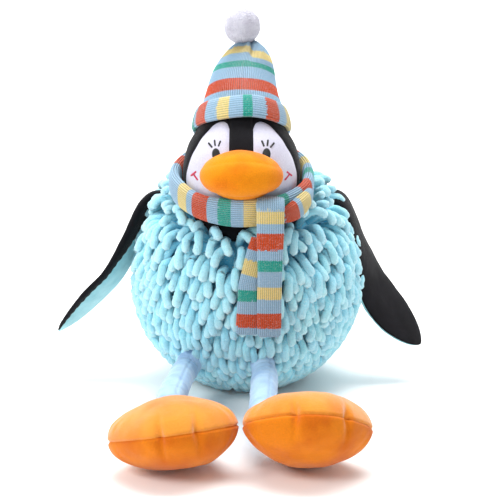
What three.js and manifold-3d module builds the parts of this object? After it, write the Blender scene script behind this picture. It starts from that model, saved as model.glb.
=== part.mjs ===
// A seated plush penguin with a knitted bobble hat and scarf, as separate sewn pieces.
// Millimetres, +Z up. The toy faces -Y and its own left is +X. The origin is the middle of the
// round base that it sits on.

import * as THREE from 'three';
import { mergeVertices } from 'three/addons/utils/BufferGeometryUtils.js';
import Module from 'manifold-3d';

const wasm = await Module();
wasm.setup();

// ---------------------------------------------------------------- driving dimensions

const GAP = 0.4; // clearance between pieces that are sewn edge to edge
const FABRIC = 2; // thickness of a sewn fabric cover

const BODY = { centre: [0, 0, 114], pile: 120, cloth: 98, fill: 97, yaw: -12, baseRadius: 46 };
const POUCH = { radius: 43, bottom: 27, top: 46 };

// Heights in the neck's frame count from the body's centre along the neck's axis.
const NECK = { lean: 26, radius: 47.5, bottom: 98.2, top: 109, pivot: 118, yokeRadius: 67 };
const SCARF = { radius: 66, height: 118, halfThick: 4.5, halfHigh: 12.5, crossing: 75.5, across: -4 };
const SCARF_TAIL = { front: 11.2, rear: 9.4, halfThick: 2.5 };

const HEAD = { centre: [-5, -57, 251.5], leanBack: 12, depth: 0.9, bottom: 121 };
const BEAK = { centre: [-5, -109, 234], half: [40, 30, 23.5], seamHeight: 215.5 };
const EYE = { x: 23.4, z: 253.5, halfWide: 3.1, halfHigh: 5.4 };

const HAT = { base: [-4.5, -48, 271], leanBack: 22.5, cuff: 4.4, cuffHigh: 19.5 };
const POMPOM = { radius: 18, forward: 13.5, height: 101.6 };

const SHOULDER = { out: 86, back: 6, up: 92, tabRadius: 8, tabEnd: 117.5, pivot: 126 };
const HIP = { spread: 21, drop: 34, tabRadius: 11, tabEnd: 119, pivot: 133 };
const LEG = { radius: 11.5, cover: 1.6 };
const FOOT = { halfWide: 58, halfLong: 47, halfThick: 31, heelWidth: 0.72 };

// Where each limb rests. Limbs are soft, so each side lies in its own way.
const WING_REST = {
  left: {
    path: [[91, 6, 206], [101, 5, 203], [110, 4, 192], [115.5, 2, 172], [121.5, 0, 152],
      [127, -1, 136], [131, -2, 118], [135.5, -3, 102], [144, -5, 86], [155, -7, 71],
      [168, -9, 57], [184, -12, 41]],
    turn: [0, 0, 8, 42, 46, 44],
  },
  right: {
    path: [[-91, 6, 207], [-101, 5, 206], [-110, 4, 196], [-115, 3, 183], [-119.5, 2, 169],
      [-127.5, 1, 149], [-135, 0, 131], [-146, -1, 112], [-161, -2, 95], [-178, -3, 76],
      [-200, -5, 53]],
    turn: [0, -8, -20, -24, -24, -22],
  },
};
const LEG_REST = {
  left: { ankle: [14, -219, 37], foot: [50.5, -246, 37.8], pitch: -37, roll: 0, spin: 10 },
  right: { ankle: [-66, -208, 50], foot: [-61, -243, 34], pitch: -18, roll: -8, spin: 0 },
};
const LEG_SWING = [-35, 85];
const FOOT_FLEX = [-20, 30];

// ---------------------------------------------------------------- materials

const cloth = (colour, roughness = 0.9) =>
  new THREE.MeshStandardMaterial({ color: colour, roughness, metalness: 0 });
const MATERIALS = {
  chenille: cloth(0x8fd8e8),
  black: cloth(0x17171c, 0.8),
  white: cloth(0xe6e4ee, 0.8),
  orange: cloth(0xf08a1a, 0.85),
  knit: cloth(0xa9cfe6),
  pompom: cloth(0xf2f2f6),
  blueCloth: cloth(0x9cc2e0, 0.7),
  pinkThread: cloth(0xd8305c, 0.5),
  stuffing: cloth(0xf4f4f0),
  pellets: cloth(0xd8d4c8),
};

// ---------------------------------------------------------------- solids

const radians = THREE.MathUtils.degToRad;
const vector = (p) => new THREE.Vector3(...p);

// A closed three.js geometry as a manifold-3d solid.
function solidOf(geometry) {
  const loose = geometry.index ? geometry.toNonIndexed() : geometry;
  const bare = new THREE.BufferGeometry().setAttribute('position', loose.getAttribute('position'));
  const merged = mergeVertices(bare, 1e-3);
  const corners = merged.index.array;
  const kept = [];
  for (let i = 0; i < corners.length; i += 3) {
    const [a, b, c] = corners.slice(i, i + 3);
    if (a !== b && b !== c && c !== a) kept.push(a, b, c);
  }
  return new wasm.Manifold(new wasm.Mesh({
    numProp: 3,
    vertProperties: merged.attributes.position.array,
    triVerts: new Uint32Array(kept),
  }));
}

// A solid as a three.js geometry whose origin is moved to the given point.
function geometryOf(solid, origin) {
  const mesh = solid.getMesh();
  const points = new Float32Array(mesh.numVert * 3);
  for (let i = 0; i < mesh.numVert; i++)
    points.set(mesh.vertProperties.subarray(i * mesh.numProp, i * mesh.numProp + 3), i * 3);
  const geometry = new THREE.BufferGeometry()
    .setAttribute('position', new THREE.BufferAttribute(points, 3))
    .setIndex(new THREE.BufferAttribute(mesh.triVerts, 1))
    .translate(-origin.x, -origin.y, -origin.z);
  geometry.computeVertexNormals();
  return geometry;
}

const combine = (solids) => solids.reduce((all, one) => all.add(one));

function frameAt(origin, ...turns) {
  const frame = new THREE.Matrix4().makeTranslation(...origin);
  turns.forEach((turn) => frame.multiply(turn));
  return frame;
}
const turnX = (degrees) => new THREE.Matrix4().makeRotationX(radians(degrees));
const turnY = (degrees) => new THREE.Matrix4().makeRotationY(radians(degrees));
const turnZ = (degrees) => new THREE.Matrix4().makeRotationZ(radians(degrees));

// A profile of [radius, height] points turned about the Z axis of a frame.
function lathe(profile, frame, segments = 40) {
  const geometry = new THREE.LatheGeometry(
    profile.map(([r, h]) => new THREE.Vector2(Math.max(r, 0), h)), segments);
  geometry.rotateX(Math.PI / 2);
  geometry.applyMatrix4(frame);
  const made = solidOf(geometry);
  if (made.volume() > 0) return made;
  return lathe([...profile].reverse(), frame, segments);
}

// A ring between two radii and heights about a frame's Z axis.
const ring = (inner, outer, low, high, frame, segments) =>
  lathe([[inner, low], [outer, low], [outer, high], [inner, high], [inner, low]], frame, segments);
const disc = (radius, low, high, frame, segments) =>
  lathe([[0, low], [radius, low], [radius, high], [0, high]], frame, segments);

function ellipsoid(centre, half, across = 24, up = 14) {
  const geometry = new THREE.SphereGeometry(1, across, up);
  geometry.rotateX(Math.PI / 2);
  geometry.scale(...half);
  geometry.translate(...centre);
  return solidOf(geometry);
}
const ball = (centre, radius, across, up) => ellipsoid(centre, [radius, radius, radius], across, up);

function box(low, high, frame = new THREE.Matrix4()) {
  const size = high.map((h, i) => h - low[i]);
  const geometry = new THREE.BoxGeometry(...size);
  geometry.translate(...low.map((l, i) => l + size[i] / 2));
  geometry.applyMatrix4(frame);
  return solidOf(geometry);
}

// A frame whose Z axis runs from one point towards another.
function frameAlong(from, to) {
  const turn = new THREE.Quaternion().setFromUnitVectors(
    new THREE.Vector3(0, 0, 1), to.clone().sub(from).normalize());
  return new THREE.Matrix4().compose(from, turn, new THREE.Vector3(1, 1, 1));
}

function capsule(from, to, radius, segments = 16) {
  const length = from.distanceTo(to);
  const steps = 4;
  const profile = [];
  for (let i = 0; i <= steps; i++) {
    const a = (i / steps) * Math.PI / 2;
    profile.push([radius * Math.sin(a), -radius * Math.cos(a)]);
  }
  const top = profile.map(([r, h]) => [r, length - h]).reverse();
  return lathe([...profile, ...top], frameAlong(from, to), segments);
}

// An outline of [x, z] points seen from the front, pushed through from near to far along Y.
function frontPrism(outline, near, far) {
  const shape = new THREE.Shape(outline.map(([x, z]) => new THREE.Vector2(x, z)));
  const geometry = new THREE.ExtrudeGeometry(shape, { depth: far - near, bevelEnabled: false });
  geometry.rotateX(Math.PI / 2);
  geometry.translate(0, far, 0);
  return solidOf(geometry);
}

// A stroke of thread seen from the front, from one [x, z] point to another.
function stroke(from, to, width, near, far) {
  const along = new THREE.Vector2(to[0] - from[0], to[1] - from[1]).normalize();
  const side = [-along.y * width / 2, along.x * width / 2];
  const corners = [[from, 1], [to, 1], [to, -1], [from, -1]];
  const outline = corners.map(([p, s]) => [p[0] + s * side[0], p[1] + s * side[1]]);
  return frontPrism(outline, near, far);
}

// A closed skin through rings of equal count. Each end is capped by a strip that zips the first
// half of its ring to the second half.
function loft(rings) {
  const count = rings[0].length;
  const corners = [];
  const quad = (a, b, c, d) => corners.push(a, b, c, a, c, d);
  for (let i = 0; i < rings.length - 1; i++)
    for (let j = 0; j < count; j++) {
      const k = (j + 1) % count;
      quad(rings[i][j], rings[i][k], rings[i + 1][k], rings[i + 1][j]);
    }
  const first = rings[0];
  const last = rings[rings.length - 1];
  for (let j = 0; j < count / 2 - 1; j++) {
    quad(first[j], first[count - 1 - j], first[count - 2 - j], first[j + 1]);
    quad(last[j], last[j + 1], last[count - 2 - j], last[count - 1 - j]);
  }
  const geometry = new THREE.BufferGeometry().setFromPoints(corners);
  const made = solidOf(geometry);
  if (made.volume() > 0) return made;
  return loft([...rings].reverse());
}

// A value from an even list at share s of its length.
function sample(list, s) {
  const at = Math.min(s, 0.9999) * (list.length - 1);
  const i = Math.floor(at);
  return list[i] + (list[i + 1] - list[i]) * (at - i);
}

// The places that a moving solid takes over a hinge's range, joined, to clear room for it.
function sweep(solid, pivot, axis, degrees, steps) {
  const places = [];
  for (let i = 0; i <= steps; i++) {
    const angle = radians(degrees[0] + (degrees[1] - degrees[0]) * i / steps);
    const turn = new THREE.Matrix4().makeTranslation(...pivot.toArray())
      .multiply(new THREE.Matrix4().makeRotationAxis(axis, angle))
      .multiply(new THREE.Matrix4().makeTranslation(...pivot.clone().negate().toArray()));
    places.push(solid.transform(turn.elements));
  }
  return combine(places);
}

// ---------------------------------------------------------------- frames and groups

const bodyCentre = vector(BODY.centre);
const neckFrame = frameAt(BODY.centre, turnX(NECK.lean));
const hatFrame = frameAt(HAT.base, turnX(-HAT.leanBack));
const bodyFrame = frameAt(BODY.centre, turnZ(BODY.yaw));
const upright = new THREE.Matrix4();

const inNeck = (x, y, z) => new THREE.Vector3(x, y, z).applyMatrix4(neckFrame);
const inHat = (x, y, z) => new THREE.Vector3(x, y, z).applyMatrix4(hatFrame);

function shoulderAxis(side) {
  return new THREE.Vector3(side * SHOULDER.out, SHOULDER.back, SHOULDER.up).normalize();
}
function hipAxis(side) {
  const turn = radians(BODY.yaw + side * HIP.spread);
  const flat = Math.cos(radians(HIP.drop));
  return new THREE.Vector3(flat * Math.sin(turn), -flat * Math.cos(turn), -Math.sin(radians(HIP.drop)));
}
const alongFromCentre = (axis, distance) => bodyCentre.clone().addScaledVector(axis, distance);

const penguin = new THREE.Group();

// A moving group whose origin is its joint, inside the group that carries it.
function movingGroup(parent, pivot) {
  const group = new THREE.Group();
  group.userData.pivot = pivot;
  group.position.copy(pivot).sub(parent.userData.pivot);
  parent.add(group);
  return group;
}
penguin.userData.pivot = new THREE.Vector3();

function addPiece(group, name, solid, material) {
  const mesh = new THREE.Mesh(geometryOf(solid, group.userData.pivot), material);
  mesh.name = name;
  group.add(mesh);
}

// ---------------------------------------------------------------- torso

function addTorso() {
  const floor = box([-200, -200, -50], [200, 200, 0]);
  const holes = combine([
    disc(NECK.yokeRadius + GAP, 40, 140, neckFrame),
    ...[1, -1].flatMap((side) => [
      disc(SHOULDER.tabRadius + GAP, 80, 140, frameAlong(bodyCentre, alongFromCentre(shoulderAxis(side), 1)), 20),
      disc(HIP.tabRadius + GAP, 80, 140, frameAlong(bodyCentre, alongFromCentre(hipAxis(side), 1)), 20),
    ]),
  ]);
  const shell = ball(BODY.centre, BODY.pile, 26, 14)
    .subtract(ball(BODY.centre, BODY.cloth, 18, 10))
    .subtract(floor);
  addPiece(penguin, 'chenille_base', shell.intersect(disc(BODY.baseRadius, -1, 60, upright)),
    MATERIALS.chenille);

  const gores = shell.subtract(holes).subtract(disc(BODY.baseRadius + GAP, -1, 60, upright));
  const reach = 200;
  for (const [end, y] of [['front', -1], ['back', 1]])
    for (const [side, x] of [['left', 1], ['right', -1]]) {
      const span = (s) => (s > 0 ? [GAP / 2, reach] : [-reach, -GAP / 2]);
      const [x0, x1] = span(x);
      const [y0, y1] = span(y);
      const quarter = box([x0, y0, -reach], [x1, y1, reach], bodyFrame);
      addPiece(penguin, `chenille_${end}_${side}`, gores.intersect(quarter), MATERIALS.chenille);
    }

  const pocket = disc(POUCH.radius + GAP, 0, POUCH.top + GAP, upright);
  addPiece(penguin, 'body_stuffing', ball(BODY.centre, BODY.fill, 18, 10).subtract(pocket),
    MATERIALS.stuffing);
  const round = 6;
  addPiece(penguin, 'pellet_pouch', lathe([[0, POUCH.bottom], [POUCH.radius - round, POUCH.bottom],
    [POUCH.radius, POUCH.bottom + round], [POUCH.radius, POUCH.top - round],
    [POUCH.radius - round, POUCH.top], [0, POUCH.top]], upright, 24), MATERIALS.pellets);

  // A black yoke closes the body round the neck, under the scarf.
  const inner = NECK.radius + 0.8;
  addPiece(penguin, 'neck_yoke', lathe([[inner, 86.2], [NECK.yokeRadius, 72.6],
    [NECK.yokeRadius, 98.2], [62, 102.5], [56, 106], [50, 108], [inner, 108], [inner, 86.2]],
  neckFrame, 30), MATERIALS.black);

  for (const [side, sign] of [['left', 1], ['right', -1]]) {
    const axis = hipAxis(sign);
    addPiece(penguin, `hip_root_${side}`, disc(HIP.tabRadius, BODY.cloth + 0.8, HIP.tabEnd,
      frameAlong(bodyCentre, alongFromCentre(axis, 1)), 18), MATERIALS.blueCloth);
  }
}

// ---------------------------------------------------------------- scarf

function ovalRing(middle, across, out, halfOut, halfAcross, count) {
  const points = [];
  for (let i = 0; i < count; i++) {
    const a = (i / count) * 2 * Math.PI;
    points.push(middle.clone().addScaledVector(out, halfOut * Math.cos(a))
      .addScaledVector(across, halfAcross * Math.sin(a)));
  }
  return points;
}

const scarfFrame = frameAt([SCARF.across, BODY.centre[1], BODY.centre[2]], turnX(NECK.lean));

function addScarf() {
  const profile = [];
  for (let i = 0; i <= 10; i++) {
    const a = (i / 10) * 2 * Math.PI;
    profile.push([SCARF.radius + SCARF.halfThick * Math.cos(a),
      SCARF.height + SCARF.halfHigh * Math.sin(a)]);
  }
  addPiece(penguin, 'scarf_wrap', lathe(profile, scarfFrame, 32), MATERIALS.knit);

  // The strand that crosses over the wrap at the toy's left and ends behind the front tail.
  const rings = [];
  for (let i = 0; i <= 6; i++) {
    const s = i / 6;
    const turn = radians(66 - 34 * s);
    const out = new THREE.Vector3(Math.sin(turn), -Math.cos(turn), 0);
    const middle = out.clone().multiplyScalar(SCARF.crossing);
    middle.z = 121 - 12 * s;
    const swell = Math.sin(Math.PI * (0.22 + 0.66 * s));
    rings.push(ovalRing(middle, new THREE.Vector3(0, 0, 1), out, 4.2 * swell, 11 * swell, 12)
      .map((p) => p.applyMatrix4(scarfFrame)));
  }
  addPiece(penguin, 'scarf_crossing', loft(rings), MATERIALS.knit);
}

function scarfTail(path, halfWide) {
  const rings = path.map(([x, y, z], i) => {
    const end = i === 0 || i === path.length - 1;
    const flat = new THREE.Vector3(1, 0, 0);
    const out = new THREE.Vector3(0, 1, 0);
    const wide = end ? 0.72 : 1;
    return ovalRing(new THREE.Vector3(x, y, z), flat, out, SCARF_TAIL.halfThick * wide,
      halfWide * (end ? 0.9 : 1.04 - 0.012 * i), 12);
  });
  return loft(rings);
}

const FRONT_TAIL = [[22, -122.5, 207], [22, -124.6, 203], [22, -125.6, 190],
  [21.8, -125.6, 165], [21.6, -125.4, 140], [21.2, -124.6, 114], [21.2, -123.6, 90], [21.2, -123, 82]];
const REAR_TAIL = [[13.5, -114.5, 177.5], [13, -115, 174], [9, -117.4, 160],
  [5, -119.4, 145], [1.8, -121.2, 132], [1, -122.9, 114], [0.4, -122.4, 96],
  [0, -121.8, 84]];

function addScarfTails() {
  const front = movingGroup(penguin, vector(FRONT_TAIL[0]));
  addPiece(front, 'scarf_tail_front', scarfTail(FRONT_TAIL, SCARF_TAIL.front), MATERIALS.knit);
  const rear = movingGroup(penguin, vector(REAR_TAIL[0]));
  addPiece(rear, 'scarf_tail_rear', scarfTail(REAR_TAIL, SCARF_TAIL.rear), MATERIALS.knit);
}

// ---------------------------------------------------------------- head

const HEAD_PROFILE = [[0, -57], [36, -57], [48, -50], [54.2, -40], [57.6, -25], [56.6, -10],
  [52.3, 5], [44.3, 19], [35.4, 33], [26, 46], [15.5, 56], [0, 62]];

// The head's form, grown (or shrunk) all round by the given amount.
function headForm(grow, segments = 28) {
  const profile = HEAD_PROFILE.map(([r, h]) => {
    const length = Math.hypot(r, h);
    return [r === 0 ? 0 : r + grow * r / length, h + grow * h / length];
  });
  const squash = new THREE.Matrix4().makeScale(1, HEAD.depth, 1);
  return lathe(profile, frameAt(HEAD.centre, turnX(-HEAD.leanBack), squash), segments);
}

// The head stops at the collar and clears the scarf that lies round it.
function trimToNeck(solid) {
  const below = disc(120, -40, HEAD.bottom, neckFrame, 16);
  const scarfRoom = ring(SCARF.radius - SCARF.halfThick - 3.5, 120, -40,
    SCARF.height + SCARF.halfHigh + 2, scarfFrame, 32);
  return solid.subtract(below).subtract(scarfRoom);
}

// Half of the white face, as an outline from the front: stripe edge, brow, cheek, chin.
const FACE_OUTLINE = [[11.7, 249], [11.5, 276], [14, 281], [19.5, 282.5], [27.5, 279],
  [34, 273], [39.5, 265.5], [44.5, 257], [48.5, 250], [51.5, 242], [54, 229], [52.4, 216],
  [47.5, 204], [35, 194], [0.2, 190], [0.2, 249]];

// Thread on the face: a front outline laid on the head's surface.
function embroidery(prism) {
  return prism.intersect(headForm(1.5).subtract(headForm(0.5)));
}

function addFace(head) {
  const centre = HEAD.centre[0];
  const near = -180;
  const far = -60;
  for (const [side, sign] of [['left', 1], ['right', -1]]) {
    const at = ([x, z]) => [centre + sign * x, z];
    const line = (from, to, width) => stroke(at(from), at(to), width, near, far);
    const oval = new THREE.EllipseCurve(0, 0, EYE.halfWide, EYE.halfHigh).getPoints(14).slice(1)
      .map((p) => at([EYE.x + p.x, EYE.z + p.y]));
    addPiece(head, `eye_${side}`, embroidery(frontPrism(oval, near, far)).subtract(beakForm(-GAP)),
      MATERIALS.black);
    const lashes = [[[21, 260.2], [19.3, 264.8]], [[24.2, 260.6], [24.8, 265]],
      [[27.4, 259], [30.4, 262]]];
    lashes.forEach(([from, to], i) =>
      addPiece(head, `eyelash_${side}_${i + 1}`, embroidery(line(from, to, 1.5)), MATERIALS.black));
    const smile = line([41.2, 228.6], [45.4, 233.4], 1.5).add(line([43, 235.6], [47.4, 231.6], 1.5));
    addPiece(head, `smile_${side}`, embroidery(smile), MATERIALS.pinkThread);
  }
}

function beakForm(shrink) {
  return ellipsoid(BEAK.centre, BEAK.half.map((h) => h - shrink), 20, 10);
}

function addBeak(head) {
  const face = headForm(GAP);
  const skin = beakForm(0).subtract(beakForm(FABRIC)).subtract(face);
  const above = box([-80, -200, BEAK.seamHeight + GAP / 2], [80, 0, 300]);
  const under = box([-80, -200, 100], [80, 0, BEAK.seamHeight - GAP / 2]);
  addPiece(head, 'beak_upper', skin.intersect(above), MATERIALS.orange);
  addPiece(head, 'beak_underside', skin.intersect(under), MATERIALS.orange);
  addPiece(head, 'beak_stuffing', beakForm(FABRIC + GAP).subtract(face), MATERIALS.stuffing);
}

function addHead(head) {
  const skin = trimToNeck(headForm(0).subtract(headForm(-FABRIC)));
  const centre = HEAD.centre[0];
  const stripe = 11.5;
  const gusset = box([centre - stripe + GAP, -200, 100], [centre + stripe - GAP, 100, 400]);
  const faceOf = (sign) => frontPrism(
    FACE_OUTLINE.map(([x, z]) => [centre + sign * x, z]), -180, HEAD.centre[1] - 2);
  const grow = (outline) => outline.map(([x, z]) => {
    const away = new THREE.Vector2(x - 30, z - 240).normalize().multiplyScalar(GAP);
    return [x < 1 ? -1 : x + away.x, z + away.y];
  });
  const faceRoomOf = (sign) => frontPrism(
    grow(FACE_OUTLINE).map(([x, z]) => [centre + sign * x, z]), -180, HEAD.centre[1] - 2 + GAP);
  const faceRoom = faceRoomOf(1).add(faceRoomOf(-1));
  addPiece(head, 'head_gusset', skin.intersect(gusset).subtract(faceRoom), MATERIALS.black);
  for (const [side, sign] of [['left', 1], ['right', -1]]) {
    const outer = sign > 0 ? [centre + stripe, centre + 100] : [centre - 100, centre - stripe];
    const half = box([outer[0], -200, 100], [outer[1], 100, 400]);
    addPiece(head, `head_side_${side}`, skin.intersect(half).subtract(faceRoom), MATERIALS.black);
    addPiece(head, `face_panel_${side}`, skin.intersect(faceOf(sign)), MATERIALS.white);
  }
  addPiece(head, 'head_stuffing', trimToNeck(headForm(-FABRIC - GAP)), MATERIALS.stuffing);
  addFace(head);
  addBeak(head);
}

function addNeck(neck) {
  const skin = NECK.radius - FABRIC;
  addPiece(neck, 'neck_collar', ring(skin, NECK.radius, NECK.bottom, NECK.top, neckFrame, 30),
    MATERIALS.black);
  const plug = skin - GAP;
  addPiece(neck, 'neck_stuffing', lathe([[0, NECK.bottom], [plug, NECK.bottom],
    [plug, NECK.top - 0.5], [30, 112.6], [15, 115], [0, 115.6]], neckFrame, 24), MATERIALS.stuffing);
}

// ---------------------------------------------------------------- hat

const HAT_PROFILE = [[43.2, 0], [40.4, 15], [36, 31], [29.5, 54], [24.5, 67], [17, 77.5], [9, 83], [0, 84.5]];

function hatRadius(height) {
  const i = Math.max(HAT_PROFILE.findIndex(([, h]) => h > height), 1);
  const [r0, h0] = HAT_PROFILE[i - 1];
  const [r1, h1] = HAT_PROFILE[i];
  return r0 + (r1 - r0) * (height - h0) / (h1 - h0);
}

function addHat(hat) {
  const inside = HAT_PROFILE.map(([r, h]) => [Math.max(r - FABRIC, 0), h - (h > 40 ? FABRIC : 0)]);
  inside[0][1] = -0.01;
  const crown = lathe([[0, 0], ...HAT_PROFILE], hatFrame, 28)
    .subtract(lathe([[0, -5], [inside[0][0], -5], ...inside], hatFrame, 28))
    .subtract(headForm(GAP));
  addPiece(hat, 'hat_crown', crown, MATERIALS.knit);

  const heights = [20, 0];
  const outer = [[3.2, -1.5], [HAT.cuff, 3], [HAT.cuff, 16], [2.4, HAT.cuffHigh]]
    .map(([out, h]) => [hatRadius(Math.max(h, 0)) + GAP + out, h]);
  const inner = heights.map((h) => [hatRadius(h) + GAP, h]);
  const start = [hatRadius(0) + GAP, -1];
  addPiece(hat, 'hat_cuff', lathe([start, ...outer, ...inner, start], hatFrame, 28)
    .subtract(headForm(GAP)), MATERIALS.knit);
}

// ---------------------------------------------------------------- wings

const WING_WIDTH = [12, 15.5, 18, 21, 25, 27.5, 26, 19.5, 7];
const WING_THICK = [4.4, 4.8, 5, 5, 5, 4.9, 4.6, 3.9, 2.6];

// The middle of a wing and the directions across it and out of it, at share s of its length.
function wingStation(rest, sign, s) {
  const curve = new THREE.CatmullRomCurve3(rest.path.map(vector));
  const along = curve.getTangentAt(s);
  const front = new THREE.Vector3(0, -1, 0);
  front.addScaledVector(along, -front.dot(along)).normalize();
  const out = new THREE.Vector3().crossVectors(front, along).multiplyScalar(sign).normalize();
  const turn = radians(sample(rest.turn, s));
  const across = front.clone().multiplyScalar(Math.cos(turn)).addScaledVector(out, -Math.sin(turn));
  const normal = out.clone().multiplyScalar(Math.cos(turn)).addScaledVector(front, Math.sin(turn));
  const wide = sample(WING_WIDTH, s);
  const thick = sample(WING_THICK, s);
  return { middle: curve.getPointAt(s), across, normal, wide, thick };
}

const WING_STATIONS = 10;
const WING_COVER = 1.4;

// Half of a lens, from edge to edge, on one side (half is 1 or -1) of its middle plane.
function lensArc({ middle, across, normal }, half, wide, thick) {
  const steps = 5;
  const points = [];
  for (let i = 0; i <= steps; i++) {
    const a = (i / steps) * Math.PI;
    points.push(middle.clone().addScaledVector(across, wide * Math.cos(a))
      .addScaledVector(normal, half * (GAP / 2 + thick * Math.sin(a))));
  }
  return points;
}

function wingCover(rest, sign, half) {
  const rings = [];
  for (let i = 0; i <= WING_STATIONS; i++) {
    const station = wingStation(rest, sign, i / WING_STATIONS);
    const outside = lensArc(station, half, station.wide, station.thick);
    const inside = lensArc(station, half, station.wide - 2, station.thick - WING_COVER);
    rings.push([...outside, ...inside.reverse()]);
  }
  return loft(rings);
}

function wingPadding(rest, sign) {
  const rings = [];
  for (let i = 0; i <= WING_STATIONS; i++) {
    const station = wingStation(rest, sign, i / WING_STATIONS);
    const wide = station.wide - 4.2;
    const thick = station.thick - WING_COVER - 2 * GAP;
    rings.push([...lensArc(station, 1, wide, thick), ...lensArc(station, -1, wide, thick).reverse()]);
  }
  const shorten = (end, next) => end.map((p, i) => p.clone().lerp(next[i], 0.1));
  rings[0] = shorten(rings[0], rings[1]);
  rings[WING_STATIONS] = shorten(rings[WING_STATIONS], rings[WING_STATIONS - 1]);
  return loft(rings);
}

function addWings() {
  for (const [side, sign] of [['left', 1], ['right', -1]]) {
    const axis = shoulderAxis(sign);
    const pivot = alongFromCentre(axis, SHOULDER.pivot);
    const tab = movingGroup(penguin, pivot);
    addPiece(tab, `shoulder_root_${side}`, disc(SHOULDER.tabRadius, BODY.cloth + 0.8,
      SHOULDER.tabEnd, frameAlong(bodyCentre, alongFromCentre(axis, 1)), 18), MATERIALS.black);
    const wing = movingGroup(tab, pivot);
    const rest = WING_REST[side];
    addPiece(wing, `wing_outer_${side}`, wingCover(rest, sign, 1), MATERIALS.black);
    addPiece(wing, `wing_inner_${side}`, wingCover(rest, sign, -1), MATERIALS.blueCloth);
    addPiece(wing, `wing_padding_${side}`, wingPadding(rest, sign), MATERIALS.stuffing);
  }
}

// ---------------------------------------------------------------- legs and feet

// A padded foot: round heel, wide toe end with three lobes. Toes point to -Y in its own frame.
function footForm(frame, grow) {
  const geometry = new THREE.SphereGeometry(1, 20, 8);
  geometry.rotateX(Math.PI / 2);
  const points = geometry.getAttribute('position');
  const p = new THREE.Vector3();
  for (let i = 0; i < points.count; i++) {
    p.fromBufferAttribute(points, i);
    const toe = THREE.MathUtils.smoothstep(-p.y, -0.9, 0.5);
    const round = Math.atan2(p.x, -p.y);
    const flat = Math.hypot(p.x, p.y);
    const lobes = Math.abs(round) < 1.6 ? 1 + 0.05 * flat * (Math.cos(round * 3.9) - 0.4) : 1;
    points.setXYZ(i,
      (FOOT.halfWide + grow) * p.x * (FOOT.heelWidth + (1 - FOOT.heelWidth) * toe) * lobes,
      (FOOT.halfLong + grow) * p.y * lobes,
      (FOOT.halfThick + grow) * p.z);
  }
  geometry.applyMatrix4(frame);
  return solidOf(geometry);
}

function addLegs() {
  const sideways = new THREE.Vector3(1, 0, 0);
  for (const [side, sign] of [['left', 1], ['right', -1]]) {
    const rest = LEG_REST[side];
    const hip = alongFromCentre(hipAxis(sign), HIP.pivot);
    const ankle = vector(rest.ankle);
    const leg = movingGroup(penguin, hip);
    const length = hip.distanceTo(ankle);
    const whole = capsule(hip, ankle, LEG.radius);
    const tube = whole.intersect(ring(LEG.radius - LEG.cover, LEG.radius + 5, 0, length,
      frameAlong(hip, ankle), 16));
    addPiece(leg, `leg_cover_${side}`, tube, MATERIALS.blueCloth);
    addPiece(leg, `leg_stuffing_${side}`, capsule(hip, ankle, LEG.radius - LEG.cover - GAP),
      MATERIALS.stuffing);

    const foot = movingGroup(leg, ankle);
    const frame = frameAt(rest.foot, turnY(rest.roll), turnX(rest.pitch), turnZ(rest.spin));
    const legRoom = sweep(capsule(hip, ankle, LEG.radius + 1, 10), ankle, sideways,
      [-FOOT_FLEX[1], -FOOT_FLEX[0]], 2);
    const skin = footForm(frame, 0).subtract(footForm(frame, -FABRIC)).subtract(legRoom);
    const upper = box([-90, -90, GAP / 2], [90, 90, 60], frame);
    const sole = box([-90, -90, -60], [90, 90, -GAP / 2], frame);
    addPiece(foot, `foot_upper_${side}`, skin.intersect(upper), MATERIALS.orange);
    addPiece(foot, `foot_sole_${side}`, skin.intersect(sole), MATERIALS.orange);
    addPiece(foot, `foot_stuffing_${side}`, footForm(frame, -FABRIC - GAP).subtract(legRoom),
      MATERIALS.stuffing);

    // Two threads pull the toe edge in, which makes three toes.
    const surface = footForm(frame, 1.5).subtract(footForm(frame, 0.5));
    [-19, 19].forEach((x, i) => {
      const strip = box([x - 0.8, -70, -12], [x + 0.8, -20, 12], frame);
      addPiece(foot, `toe_stitch_${side}_${i + 1}`, surface.intersect(strip), MATERIALS.orange);
    });
  }
}

// ---------------------------------------------------------------- the toy

addTorso();
addScarf();
addScarfTails();

const neckPivot = inNeck(0, 0, NECK.pivot);
const neck = movingGroup(penguin, neckPivot);
addNeck(neck);
const head = movingGroup(neck, neckPivot);
addHead(head);

const hat = movingGroup(head, vector(HAT.base));
addHat(hat);
const pompomCentre = inHat(0, -POMPOM.forward, POMPOM.height);
const hatTip = inHat(0, 0, HAT_PROFILE[HAT_PROFILE.length - 1][1]);
const pompom = movingGroup(hat, hatTip);
addPiece(pompom, 'pompom', ball(pompomCentre.toArray(), POMPOM.radius, 18, 10), MATERIALS.pompom);

addWings();
addLegs();

export default penguin;
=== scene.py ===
"""A seated plush penguin in a knitted bobble hat and scarf: the looks around its CAD frame.

Shapes are worked out in millimetres in the frame's axes (+Z up, the face looks along -Y) and become
metres when a mesh is made. "Left" is the toy's own left, at +X.
"""
import math

import bpy
import numpy as np
from mathutils import Matrix, Vector, kdtree


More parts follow.
